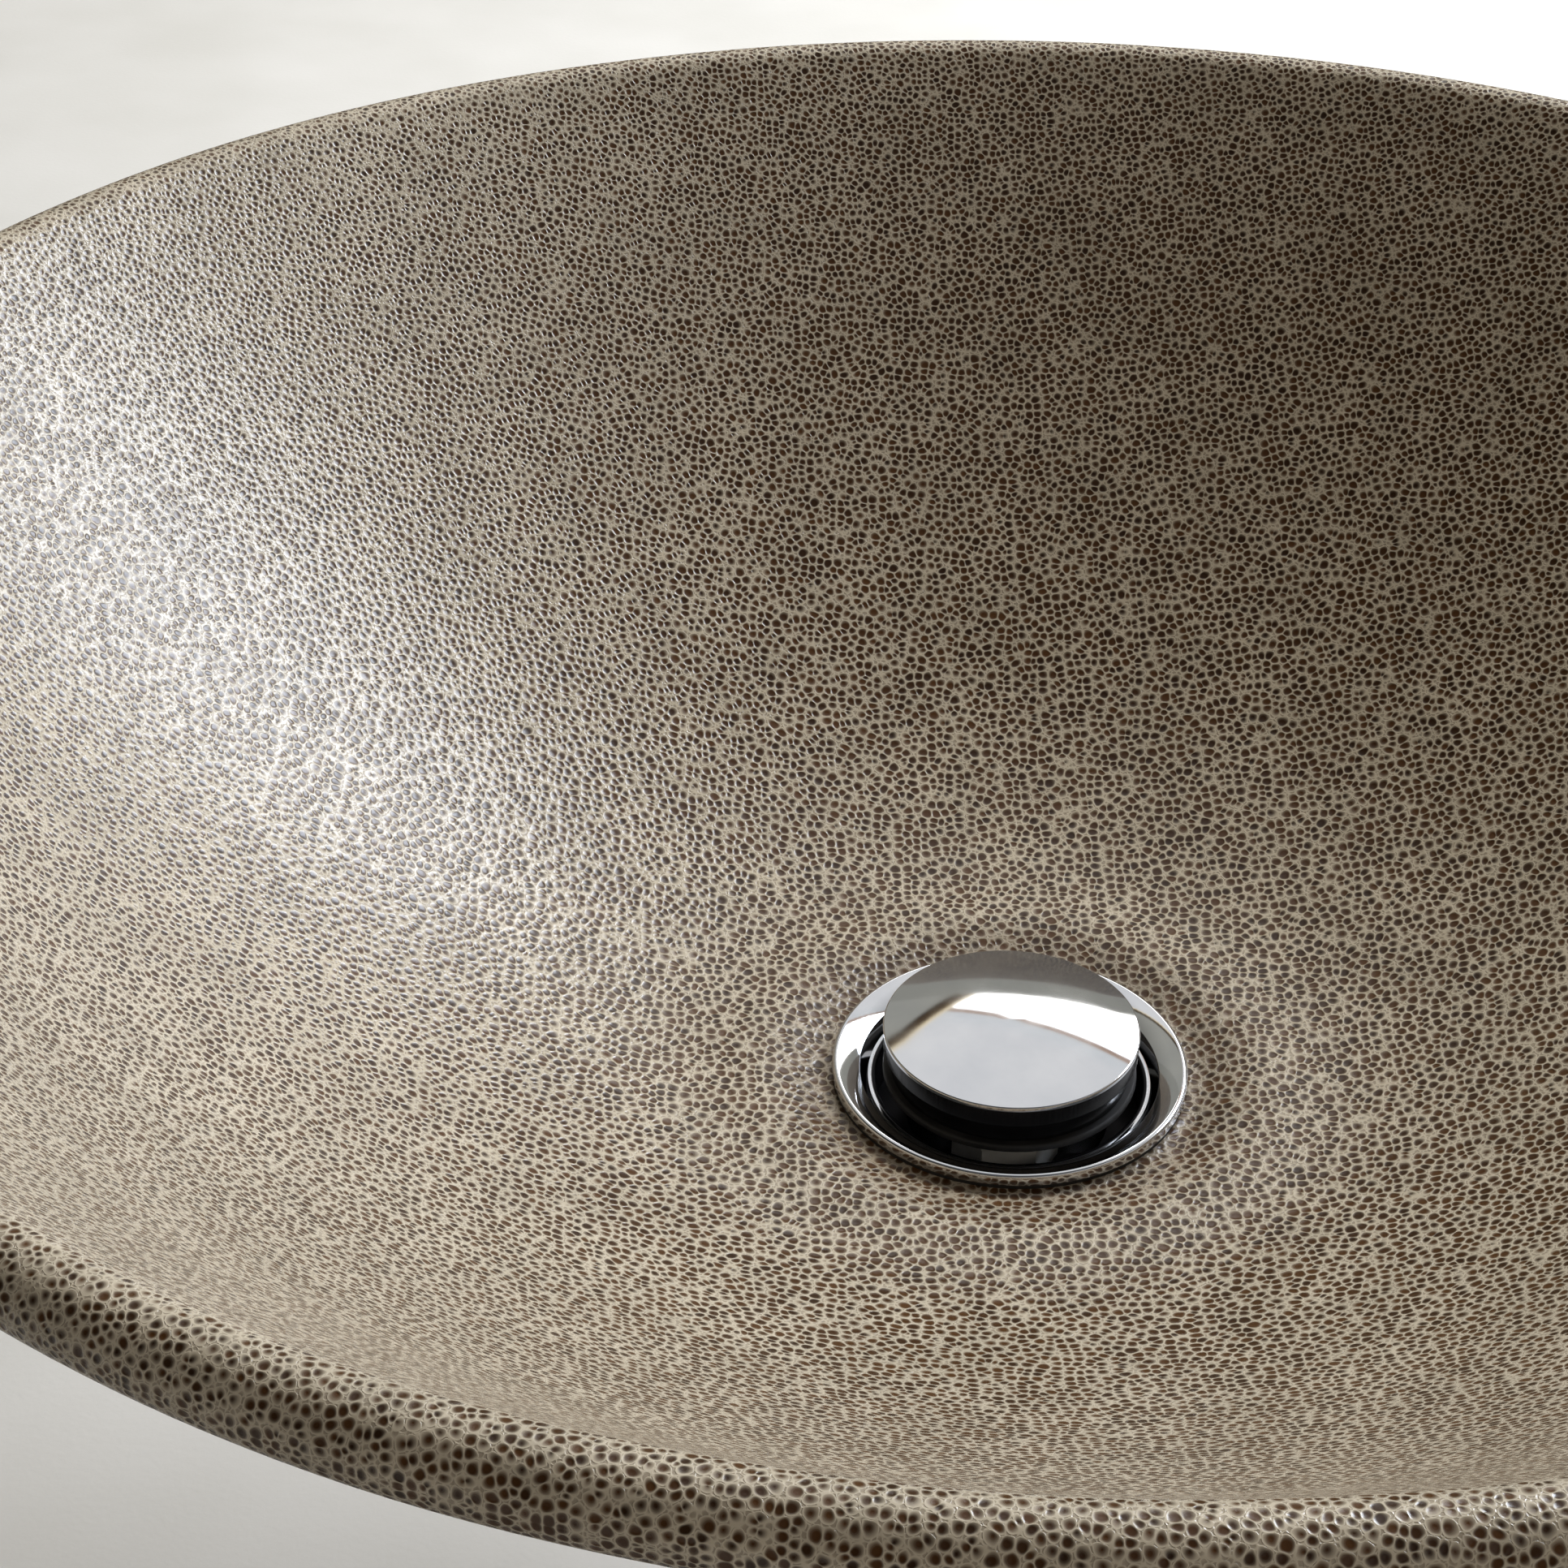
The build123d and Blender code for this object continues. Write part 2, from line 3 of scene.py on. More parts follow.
import bpy
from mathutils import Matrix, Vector


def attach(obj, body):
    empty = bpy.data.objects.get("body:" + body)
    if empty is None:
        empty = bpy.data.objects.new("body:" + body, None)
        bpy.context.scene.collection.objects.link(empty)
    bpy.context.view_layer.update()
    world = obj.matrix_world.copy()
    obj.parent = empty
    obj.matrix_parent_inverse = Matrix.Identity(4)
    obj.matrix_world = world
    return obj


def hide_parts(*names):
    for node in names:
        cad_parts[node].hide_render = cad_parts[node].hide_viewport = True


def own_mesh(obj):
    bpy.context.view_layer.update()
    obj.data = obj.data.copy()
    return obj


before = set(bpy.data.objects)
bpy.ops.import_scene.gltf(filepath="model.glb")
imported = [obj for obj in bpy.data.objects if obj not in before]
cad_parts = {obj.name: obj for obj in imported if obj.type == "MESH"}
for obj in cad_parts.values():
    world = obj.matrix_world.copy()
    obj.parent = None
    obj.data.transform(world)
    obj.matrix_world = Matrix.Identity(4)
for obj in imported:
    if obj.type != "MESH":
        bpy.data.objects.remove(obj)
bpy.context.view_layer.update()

# ---- Basin ----
# A round vessel of stoneware, jiggered to an even wall, with a rolled rim and a foot ring.
# It is dipped in a satin glaze that crawls into dark cells between pale veins as it cools,
# and the foot's face is wiped bare so that it can stand in the kiln.
BASIN_RADIUS = 0.220
WALL = 0.011
SEAT_HEIGHT = 0.0262
SEAT_RADIUS = 0.0335
HOLE_RADIUS = 0.0261
HOLE_CHAMFER = 0.002
BASE_LIFT = 0.013
FOOT_OUTER = 0.082
FOOT_INNER = 0.068
FOOT_ROUND = 0.002
FOOT_BLEND = 0.004
BLEND_DROP = 0.9
LIP_LENGTH = 0.004
OUTLINE_STEP = 0.003
RIM_STEPS = 24
FOOT_STEPS = 8
BLEND_STEPS = 6
SHARP_ANGLE = radians(32)
SEAM_GAP = 1e-6
# Each arc of the inside, from the drain outwards: its radius in metres and the slope that
# it ends at, in degrees from level
INSIDE_ARCS = (
    (0.008, 14.0),
    (0.040, 0.0),
    (0.070, 17.0),
    (0.165, 33.0),
    (0.330, 47.0),
)
# From the band outwards the wall wanders in and out, in waves of about 70 mm.
WALL_WANDER = 0.0006
WALL_WAVES = 14.0
WALL_BAND = 0.09, 0.16
# Where a thread's flank starts and ends, from its crest to its groove, in turns
THREAD_FLANK = 0.05, 0.45
# The glaze: most cells are about 2 mm across, with smaller ones where three of them meet. They
# have their true size at one radius on the floor.
TRUE_SIZE_RADIUS = 0.058
CELL_SPACING = 0.0019
CELL_SCATTER = 0.95
CELL_FALL = 0.25
CELL_VARIETY = 0.08
CELL_CORE = 0.06
VEIN_EDGE = 0.25
SMALL_SHARE = 0.5
SMALL_DEPTH = 0.4
VEIN_COLOURS = "#aea491", "#bfb4a0"
CELL_COLOURS = "#2b1805", "#4b2f13"
CLAY_COLOURS = "#a98f6f", "#c2aa8a"
VEIN_ROUGHNESS = 0.22
CELL_ROUGHNESS = 0.28
GLAZE_IOR = 1.47
# How far the painted shade round the drain darkens the glaze
DRAIN_SHADE_DEPTH = 0.35
GLAZE_RELIEF = 0.00012
DIMPLE_CORE = 0.02
SMALL_ASIDE = 0.31, 0.22, 0.0
SMALL_ROOM = 0.01, 0.06
CELL_WAVES = 400.0
CELL_WANDER = 0.0005, 0.0005, 0.0
THICKNESS_PATCH = 0.015
RIPPLE_PATCH = 0.004
RIPPLE_SHARE = 0.3
# The cells close up on the rim and on the left side: painted highlights, as paler glaze. Round
# the drain the glaze is darkened: painted shade. It stops above the foot. Each band is the start
# and the end of that change in metres.
CLOSING = 0.03
RIM_HIGHLIGHT_BAND = 0.138, 0.146
HIGHLIGHT_SIDE_BAND = -0.04, -0.15
DRAIN_SHADE_BAND = 0.046, 0.036
BARE_BAND = 0.0016, 0.0012
BARE_PATCH = 0.006
BARE_WANDER = 0.0012
SAND_GRAIN = 0.0005
CLAY_ROUGHNESS = 0.9


def linear(colour):
    """An sRGB hex colour as the linear values that a shader socket takes."""
    shares = [int(colour[i : i + 2], 16) / 255 for i in (1, 3, 5)]
    light = [c / 12.92 if c <= 0.04045 else ((c + 0.055) / 1.055) ** 2.4 for c in shares]
    return (*light, 1.0)


def add_node(tree, kind, *values, **settings):
    """A new node. Values go to its inputs in order, and a dictionary names the inputs it fills."""
    made = tree.nodes.new(kind)
    for name, value in settings.items():
        setattr(made, name, value)
    shown = [socket for socket in made.inputs if socket.enabled]
    filled = []
    for i, value in enumerate(values):
        if isinstance(value, dict):
            filled += [(made.inputs[name], each) for name, each in value.items()]
        else:
            filled.append((shown[i], value))
    for socket, value in filled:
        if isinstance(value, bpy.types.Node):
            value = next(output for output in value.outputs if output.enabled)
        if isinstance(value, bpy.types.NodeSocket):
            tree.links.new(value, socket)
        else:
            socket.default_value = value
    return made


def arc_points(start, slope, radius, end_slope, step=OUTLINE_STEP):
    """Points after start, along an arc from one slope to another, both in degrees."""
    bend = 1 if end_slope > slope else -1
    count = max(3, ceil(radius * radians(abs(end_slope - slope)) / step))
    points = []
    for i in range(1, count + 1):
        angle = slope + (end_slope - slope) * i / count
        points.append((
            start[0] + bend * radius * (sin(radians(angle)) - sin(radians(slope))),
            start[1] - bend * radius * (cos(radians(angle)) - cos(radians(slope))),
        ))
    return points


def line_points(start, end, step=OUTLINE_STEP):
    """Points after start, along a straight run to end."""
    count = max(1, ceil(hypot(end[0] - start[0], end[1] - start[1]) / step))
    return [
        (start[0] + (end[0] - start[0]) * i / count, start[1] + (end[1] - start[1]) * i / count)
        for i in range(1, count + 1)
    ]


def basin_outline():
    """The basin's section, from the drain hole's top edge up the inside, over the rim and down."""
    points = [(HOLE_RADIUS + HOLE_CHAMFER, SEAT_HEIGHT)]
    points += line_points(points[-1], (SEAT_RADIUS, SEAT_HEIGHT))
    slope = 0.0
    for radius, end_slope in INSIDE_ARCS:
        points += arc_points(points[-1], slope, radius, end_slope, min(OUTLINE_STEP, radius / 12))
        slope = end_slope
        if radius == INSIDE_ARCS[0][0]:
            run = (LIP_LENGTH * cos(radians(slope)), LIP_LENGTH * sin(radians(slope)))
            points += line_points(points[-1], (points[-1][0] + run[0], points[-1][1] + run[1]))
        if radius == INSIDE_ARCS[2][0]:
            floor_end = points[-1]
    bead = WALL / 2
    steep = radians(slope)
    rim_run = BASIN_RADIUS - bead * (1 + sin(steep)) - points[-1][0]
    side = (rim_run, rim_run * sin(steep) / cos(steep))
    points += line_points(points[-1], (points[-1][0] + side[0], points[-1][1] + side[1]))
    # Rim: half a turn over the top, down to the outside
    centre = (points[-1][0] + bead * sin(steep), points[-1][1] - bead * cos(steep))
    for i in range(1, RIM_STEPS + 1):
        angle = pi / 2 + steep - pi * i / RIM_STEPS
        points.append((centre[0] + bead * cos(angle), centre[1] + bead * sin(angle)))
    equator = max(range(len(points)), key=lambda i: points[i][0])
    # Outside: parallel to the inside, down to the foot ring
    flat = radians(INSIDE_ARCS[2][1])
    low = (floor_end[0] + WALL * sin(flat), floor_end[1] - WALL * cos(flat))
    belly_radius = INSIDE_ARCS[3][0] + WALL
    belly = [low] + arc_points(low, INSIDE_ARCS[2][1], belly_radius, INSIDE_ARCS[3][1])
    haunch = arc_points(belly[-1], INSIDE_ARCS[3][1], INSIDE_ARCS[4][0] + WALL, INSIDE_ARCS[4][1])
    flank = line_points(points[-1], haunch[-1])
    outside = flank + haunch[-2::-1] + belly[::-1]
    points += [p for p in outside if p[0] > FOOT_OUTER + FOOT_BLEND]
    # Blend into the foot ring's side, its rounded foot, the recess and the drain hole
    joint = points[-1]
    blend_low = joint[1] - FOOT_BLEND * BLEND_DROP
    for i in range(1, BLEND_STEPS + 1):
        t = i / BLEND_STEPS
        points.append((
            (1 - t) ** 2 * joint[0] + (1 - (1 - t) ** 2) * FOOT_OUTER,
            (1 - t * t) * joint[1] + t * t * blend_low,
        ))
    points += line_points(points[-1], (FOOT_OUTER, FOOT_ROUND))
    for i in range(1, FOOT_STEPS + 1):
        angle = -pi / 2 * i / FOOT_STEPS
        points.append((FOOT_OUTER - FOOT_ROUND * (1 - cos(angle)), FOOT_ROUND * (1 + sin(angle))))
    points += line_points(points[-1], (FOOT_INNER + FOOT_ROUND, 0.0))
    for i in range(1, FOOT_STEPS + 1):
        angle = pi / 2 * i / FOOT_STEPS
        points.append((FOOT_INNER + FOOT_ROUND * (1 - sin(angle)), FOOT_ROUND * (1 - cos(angle))))
    points += line_points(points[-1], (FOOT_INNER, BASE_LIFT))
    points += line_points(points[-1], (HOLE_RADIUS, BASE_LIFT))
    points += line_points(points[-1], (HOLE_RADIUS, SEAT_HEIGHT - HOLE_CHAMFER))
    return points, equator


def glaze_reaches(points, equator):
    """For each point, the radius that it has on the flat sheet which the glaze is drawn on.

    The sheet is wrapped over the rim, and every cell keeps its shape on it.
    """
    reaches = [0.0] * len(points)
    for way in (range(equator, -1, -1), range(equator, len(points))):
        reach = 0.0
        before = equator
        for i in way:
            step = hypot(points[i][0] - points[before][0], points[i][1] - points[before][1])
            reach -= step / ((points[i][0] + points[before][0]) / 2)
            reaches[i] = reach
            before = i
    # The sheet has its true size where the floor is lowest.
    level = min(range(equator), key=lambda i: abs(points[i][0] - TRUE_SIZE_RADIUS))
    scale = points[level][0] / exp(reaches[level])
    return [exp(reach) * scale for reach in reaches]


def turning_tree():
    """Geometry nodes that turn an outline, given as a row of points, about the Z axis."""
    tree = bpy.data.node_groups.new("turned_on_the_wheel", "GeometryNodeTree")
    face = tree.interface
    face.new_socket("Outline", in_out="INPUT", socket_type="NodeSocketGeometry")
    for name, kind in (
        ("Rows", "NodeSocketInt"),
        ("Sides", "NodeSocketInt"),
        ("Unevenness", "NodeSocketFloat"),
        ("Thread pitch", "NodeSocketFloat"),
        ("Thread depth", "NodeSocketFloat"),
        ("Thread low end", "NodeSocketFloat"),
        ("Thread high end", "NodeSocketFloat"),
        ("Finish", "NodeSocketMaterial"),
    ):
        face.new_socket(name, in_out="INPUT", socket_type=kind)
    face.new_socket("Turned", in_out="OUTPUT", socket_type="NodeSocketGeometry")
    given = add_node(tree, "NodeGroupInput").outputs
    rows, sides, pitch = given["Rows"], given["Sides"], given["Thread pitch"]
    columns = add_node(tree, "ShaderNodeMath", rows, 1.0, operation="ADD")
    lines = add_node(tree, "ShaderNodeMath", sides, 1.0, operation="ADD")
    grid = add_node(tree, "GeometryNodeMeshGrid", 1.0, 1.0, columns, lines)
    place = add_node(tree, "GeometryNodeInputPosition")
    spot = add_node(tree, "ShaderNodeSeparateXYZ", place).outputs
    # The grid's one side counts the outline's points, and its other side is the turn.
    row = add_node(tree, "ShaderNodeMath", spot[0], 0.5, operation="ADD")
    row = add_node(tree, "ShaderNodeMath", row, rows, operation="MULTIPLY")
    row = add_node(tree, "ShaderNodeMath", row, operation="ROUND")
    count = add_node(tree, "GeometryNodeAttributeDomainSize", given["Outline"], component="MESH")
    row = add_node(tree, "ShaderNodeMath", row, count.outputs["Point Count"], operation="MODULO")
    angle = add_node(tree, "ShaderNodeMath", spot[1], 2 * pi, pi, operation="MULTIPLY_ADD")
    reach = add_node(tree, "GeometryNodeInputNamedAttribute", "reach", data_type="FLOAT")
    threaded = add_node(tree, "GeometryNodeInputNamedAttribute", "threaded", data_type="FLOAT")
    found = []
    for value, kind in ((place, "FLOAT_VECTOR"), (reach, "FLOAT"), (threaded, "FLOAT")):
        taken = (given["Outline"], value, row)
        found.append(add_node(tree, "GeometryNodeSampleIndex", *taken, data_type=kind))
    flat = add_node(tree, "ShaderNodeSeparateXYZ", found[0]).outputs
    height = flat[2]
    # A thread's groove winds down the piece and runs out at both of its ends.
    turns = add_node(tree, "ShaderNodeMath", height, pitch, operation="DIVIDE")
    wound = add_node(tree, "ShaderNodeMath", angle, 2 * pi, operation="DIVIDE")
    turns = add_node(tree, "ShaderNodeMath", turns, wound, operation="SUBTRACT")
    groove = add_node(tree, "ShaderNodeMath", turns, 0.5, operation="PINGPONG")
    groove = add_node(tree, "ShaderNodeMapRange", groove, *THREAD_FLANK)
    low_end, high_end = given["Thread low end"], given["Thread high end"]
    run_in = add_node(tree, "ShaderNodeMath", low_end, pitch, operation="ADD")
    run_out = add_node(tree, "ShaderNodeMath", high_end, pitch, operation="SUBTRACT")
    low_fade = add_node(tree, "ShaderNodeMapRange", height, low_end, run_in)
    high_fade = add_node(tree, "ShaderNodeMapRange", height, high_end, run_out)
    cut = add_node(tree, "ShaderNodeMath", groove, low_fade, operation="MULTIPLY")
    cut = add_node(tree, "ShaderNodeMath", cut, high_fade, operation="MULTIPLY")
    cut = add_node(tree, "ShaderNodeMath", cut, found[2], operation="MULTIPLY")
    cut = add_node(tree, "ShaderNodeMath", cut, given["Thread depth"], operation="MULTIPLY")
    radius = add_node(tree, "ShaderNodeMath", flat[0], cut, operation="SUBTRACT")
    # A thrown pot is never quite round: a slow noise moves its wall in and out.
    along_x = add_node(tree, "ShaderNodeMath", angle, operation="COSINE")
    along_y = add_node(tree, "ShaderNodeMath", angle, operation="SINE")
    side = add_node(tree, "ShaderNodeCombineXYZ", along_x, along_y)
    around = add_node(tree, "ShaderNodeVectorMath", side, {"Scale": radius}, operation="SCALE")
    lifted = add_node(tree, "ShaderNodeCombineXYZ", 0.0, 0.0, height)
    true_place = add_node(tree, "ShaderNodeVectorMath", around, lifted, operation="ADD")
    waves = {"Vector": true_place, "Scale": WALL_WAVES, "Detail": 1.0}
    waves = add_node(tree, "ShaderNodeTexNoise", waves)
    drift = add_node(tree, "ShaderNodeMath", waves, 0.5, operation="SUBTRACT")
    away = add_node(tree, "ShaderNodeMapRange", radius, *WALL_BAND)
    drift = add_node(tree, "ShaderNodeMath", drift, away, operation="MULTIPLY")
    drift = add_node(tree, "ShaderNodeMath", drift, given["Unevenness"], operation="MULTIPLY")
    shift = add_node(tree, "ShaderNodeVectorMath", side, {"Scale": drift}, operation="SCALE")
    turned = add_node(tree, "ShaderNodeVectorMath", true_place, shift, operation="ADD")
    stored = add_node(
        tree,
        "GeometryNodeStoreNamedAttribute",
        {"Geometry": grid.outputs["Mesh"], "Name": "reach", "Value": found[1]},
        data_type="FLOAT",
        domain="POINT",
    )
    moved = add_node(tree, "GeometryNodeSetPosition", {"Geometry": stored, "Position": turned})
    closed = {"Geometry": moved, "Distance": SEAM_GAP}
    closed = add_node(tree, "GeometryNodeMergeByDistance", closed)
    smooth = add_node(tree, "GeometryNodeSetShadeSmooth", {"Geometry": closed}, domain="FACE")
    bend = add_node(tree, "GeometryNodeInputMeshEdgeAngle").outputs[0]
    corner = add_node(tree, "ShaderNodeMath", bend, SHARP_ANGLE, operation="GREATER_THAN")
    sharp = add_node(
        tree,
        "GeometryNodeSetShadeSmooth",
        {"Geometry": smooth, "Selection": corner, "Shade Smooth": False},
        domain="EDGE",
    )
    whole = add_node(tree, "GeometryNodeRealizeInstances", {"Geometry": sharp})
    dressed = {"Geometry": whole, "Material": given["Finish"]}
    dressed = add_node(tree, "GeometryNodeSetMaterial", dressed)
    add_node(tree, "NodeGroupOutput", dressed)
    return tree


turning = turning_tree()


def grow(name, mesh, tree, given):
    """A piece as a plain mesh, grown from a first mesh by a tree with the values of its inputs."""
    piece = bpy.data.objects.new(name, mesh)
    bpy.context.scene.collection.objects.link(piece)
    growth = piece.modifiers.new("growth", "NODES")
    growth.node_group = tree
    for socket in tree.interface.items_tree:
        if socket.in_out == "INPUT" and socket.name in given:
            growth[socket.identifier] = given[socket.name]
    bpy.context.view_layer.update()
    grown = piece.evaluated_get(bpy.context.evaluated_depsgraph_get())
    solid = bpy.data.meshes.new_from_object(grown)
    piece.modifiers.clear()
    piece.data = solid
    solid.name = name
    bpy.data.meshes.remove(mesh)
    return piece


def turn(name, outline, finish, sides, reaches=None, threaded=None, **sizes):
    """A turned piece, from its closed outline of (radius, height) points."""
    mesh = bpy.data.meshes.new(name)
    mesh.from_pydata([(r, 0.0, z) for r, z in outline], [], [])
    reach = mesh.attributes.new("reach", "FLOAT", "POINT")
    reach.data.foreach_set("value", reaches or [r for r, z in outline])
    thread = mesh.attributes.new("threaded", "FLOAT", "POINT")
    thread.data.foreach_set("value", threaded or [0.0] * len(outline))
    given = {
        "Rows": len(outline),
        "Sides": sides,
        "Unevenness": 0.0,
        "Thread pitch": 0.001,
        "Thread depth": 0.0,
        "Thread low end": 0.0,
        "Thread high end": 0.0,
        "Finish": finish,
    }
    given.update({key.replace("_", " ").capitalize(): value for key, value in sizes.items()})
    return grow(name, mesh, turning, given)


def start_material(name):
    """A new material, its empty node tree and its Object coordinates."""
    material = bpy.data.materials.new(name)
    material.use_nodes = True
    tree = material.node_tree
    tree.nodes.clear()
    return material, tree, add_node(tree, "ShaderNodeTexCoord").outputs["Object"]


def patches(tree, place, size, detail=2.0):
    """Soft random patches of about that size in metres, from 0 to 1."""
    noise = {"Vector": place, "Scale": 1 / size, "Detail": detail}
    noise = add_node(tree, "ShaderNodeTexNoise", noise)
    # The noise itself seldom leaves 0.3 to 0.7.
    return add_node(tree, "ShaderNodeMapRange", noise, 0.3, 0.7)


def finish_material(tree, colour, rough, height, relief, **constants):
    """The shader: its colour, roughness and relief in metres, and its constant sockets."""
    bump = {"Height": height, "Distance": relief, "Strength": 1.0}
    bump = add_node(tree, "ShaderNodeBump", bump)
    sockets = {"Base Color": colour, "Roughness": rough, "Normal": bump}
    sockets.update({name.replace("_", " "): value for name, value in constants.items()})
    shader = add_node(tree, "ShaderNodeBsdfPrincipled", sockets)
    add_node(tree, "ShaderNodeOutputMaterial", shader)


def cell_gaps(tree, sheet, spacing):
    """A height that is low inside round cells and rises in the veins between them."""
    shared = {"Vector": sheet, "Scale": 1 / spacing, "Randomness": CELL_SCATTER}
    kind = {"voronoi_dimensions": "2D"}
    near = add_node(tree, "ShaderNodeTexVoronoi", shared, feature="F1", **kind)
    shared["Smoothness"] = 1.0
    soft = add_node(tree, "ShaderNodeTexVoronoi", shared, feature="SMOOTH_F1", **kind)
    chance = add_node(tree, "ShaderNodeSeparateColor", near.outputs["Color"]).outputs
    centre = near.outputs["Distance"]
    gap = add_node(tree, "ShaderNodeMath", centre, soft.outputs["Distance"], operation="SUBTRACT")
    gap = add_node(tree, "ShaderNodeMath", centre, CELL_FALL, gap, operation="MULTIPLY_ADD")
    gap = add_node(tree, "ShaderNodeMath", chance[1], CELL_VARIETY, gap, operation="MULTIPLY_ADD")
    return gap, chance[0]


def crawled_glaze():
    """Satin reticulated glaze on stoneware, dipped on thick and fired until it draws apart.

    It reads as pale raised veins with a soft shine, round low brown cells of uneven sizes,
    and a bare sandy foot.
    """
    material, tree, place = start_material("crawled_satin_glaze")
    # The flat sheet that the cells are drawn on: the same bearing, at the sheet's own radius
    flat = add_node(tree, "ShaderNodeVectorMath", place, (1.0, 1.0, 0.0), operation="MULTIPLY")
    out = add_node(tree, "ShaderNodeVectorMath", flat, operation="LENGTH")
    out = add_node(tree, "ShaderNodeMath", out, 0.0001, operation="MAXIMUM")
    reach = add_node(tree, "ShaderNodeAttribute", attribute_name="reach").outputs["Fac"]
    stretch = add_node(tree, "ShaderNodeMath", reach, out, operation="DIVIDE")
    sheet = add_node(tree, "ShaderNodeVectorMath", flat, {"Scale": stretch}, operation="SCALE")
    # The cells' edges wander by up to half a millimetre, so that no two are alike
    wander = {"Vector": sheet, "Scale": CELL_WAVES, "Detail": 1.0}
    wander = add_node(tree, "ShaderNodeTexNoise", wander).outputs["Color"]
    moved = (wander, CELL_WANDER, sheet)
    sheet = add_node(tree, "ShaderNodeVectorMath", *moved, operation="MULTIPLY_ADD")
    gaps, tint = cell_gaps(tree, sheet, CELL_SPACING)
    aside = add_node(tree, "ShaderNodeVectorMath", sheet, SMALL_ASIDE, operation="ADD")
    small_gaps = cell_gaps(tree, aside, CELL_SPACING * SMALL_SHARE)[0]
    # The cells close up on the rim and on the left side, so the glaze is paler there: painted
    # highlights for the rim's crest and for the sheen on the left wall.
    spot = add_node(tree, "ShaderNodeSeparateXYZ", place).outputs
    rim_highlight = add_node(tree, "ShaderNodeMapRange", spot[2], *RIM_HIGHLIGHT_BAND, 0.0, CLOSING)
    run = add_node(tree, "ShaderNodeMapRange", spot[0], *HIGHLIGHT_SIDE_BAND, 0.0, CLOSING)
    depth = add_node(tree, "ShaderNodeMath", gaps, rim_highlight, operation="ADD")
    depth = add_node(tree, "ShaderNodeMath", depth, run, operation="ADD")
    edge = CELL_VARIETY / 2 + VEIN_EDGE
    core = CELL_VARIETY / 2 + CELL_CORE
    gently = {"interpolation_type": "SMOOTHSTEP"}
    cell = add_node(tree, "ShaderNodeMapRange", depth, edge, core, **gently)
    small = add_node(tree, "ShaderNodeMapRange", small_gaps, edge, core, **gently)
    room = (depth, edge + SMALL_ROOM[0], edge + SMALL_ROOM[1], 0.0, SMALL_DEPTH)
    room = add_node(tree, "ShaderNodeMapRange", *room, **gently)
    small = add_node(tree, "ShaderNodeMath", small, room, operation="MULTIPLY")
    cell = add_node(tree, "ShaderNodeMath", cell, small, operation="MAXIMUM")
    # Veins lighter or browner in patches of 15 mm, and each cell with its own brown
    tones = {"data_type": "RGBA"}
    thickness = patches(tree, place, THICKNESS_PATCH, 3.0)
    veins = add_node(tree, "ShaderNodeMix", thickness, *map(linear, VEIN_COLOURS), **tones)
    browns = add_node(tree, "ShaderNodeMix", tint, *map(linear, CELL_COLOURS), **tones)
    glaze = add_node(tree, "ShaderNodeMix", cell, veins, browns, **tones)
    # Round the drain the glaze is mixed towards the cells' brown: painted shade in the hollow
    # there.
    drain_shade = add_node(tree, "ShaderNodeMapRange", out, *DRAIN_SHADE_BAND, 0.0, DRAIN_SHADE_DEPTH, **gently)
    glaze = add_node(tree, "ShaderNodeMix", drain_shade, glaze, browns, **tones)
    # Bare clay under the foot, with an uneven glaze line and sandy grains of half a millimetre
    ragged = patches(tree, place, BARE_PATCH)
    line = add_node(tree, "ShaderNodeMath", ragged, BARE_WANDER, spot[2], operation="MULTIPLY_ADD")
    bare = add_node(tree, "ShaderNodeMapRange", line, *BARE_BAND)
    sand = patches(tree, place, SAND_GRAIN)
    clay = add_node(tree, "ShaderNodeMix", sand, *map(linear, CLAY_COLOURS), **tones)
    colour = add_node(tree, "ShaderNodeMix", bare, glaze, clay, **tones)
    rough = add_node(tree, "ShaderNodeMapRange", cell, 0.0, 1.0, VEIN_ROUGHNESS, CELL_ROUGHNESS)
    rough = add_node(tree, "ShaderNodeMix", bare, rough, CLAY_ROUGHNESS, data_type="FLOAT")
    # Each cell is a dimple between proud veins, on the slow ripple of a satin glaze.
    dimple = add_node(tree, "ShaderNodeMapRange", depth, edge, DIMPLE_CORE, **gently)
    dimple = add_node(tree, "ShaderNodeMath", dimple, small, operation="MAXIMUM")
    ripple = patches(tree, place, RIPPLE_PATCH)
    ripple = add_node(tree, "ShaderNodeMath", ripple, RIPPLE_SHARE, operation="MULTIPLY")
    raised = add_node(tree, "ShaderNodeMath", ripple, dimple, operation="SUBTRACT")
    height = add_node(tree, "ShaderNodeMix", bare, raised, sand, data_type="FLOAT")
    finish_material(tree, colour, rough, height, GLAZE_RELIEF, IOR=GLAZE_IOR)
    return material


outline, equator = basin_outline()
basin = turn(
    "glazed_basin",
    outline,
    crawled_glaze(),
    sides=320,
    reaches=glaze_reaches(outline, equator),
    unevenness=WALL_WANDER,
)
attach(basin, "basin_and_drain")
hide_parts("basin")

# ---- Flange seal ----
# A flat ring of black rubber under the drain's rim, punched from sheet. Its edge shows as a
# dark line between the chrome and the glaze.
RUBBER_COLOURS = "#101010", "#242322"


def two_toned(name, colours, patch, grain, roughness, relief, ior, detail=2.0):
    """An even finish: two tones in soft patches that its roughness follows, and a fine grain."""
    material, tree, place = start_material(name)
    tone = patches(tree, place, patch, detail)
    colour = add_node(tree, "ShaderNodeMix", tone, *map(linear, colours), data_type="RGBA")
    rough = add_node(tree, "ShaderNodeMapRange", tone, 0.0, 1.0, *roughness)
    finish_material(tree, colour, rough, patches(tree, place, grain), relief, IOR=ior)
    return material


def dress(finish, *names):
    """Gives the frame's own nodes a finish."""
    for name in names:
        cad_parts[name].data.materials[0] = finish


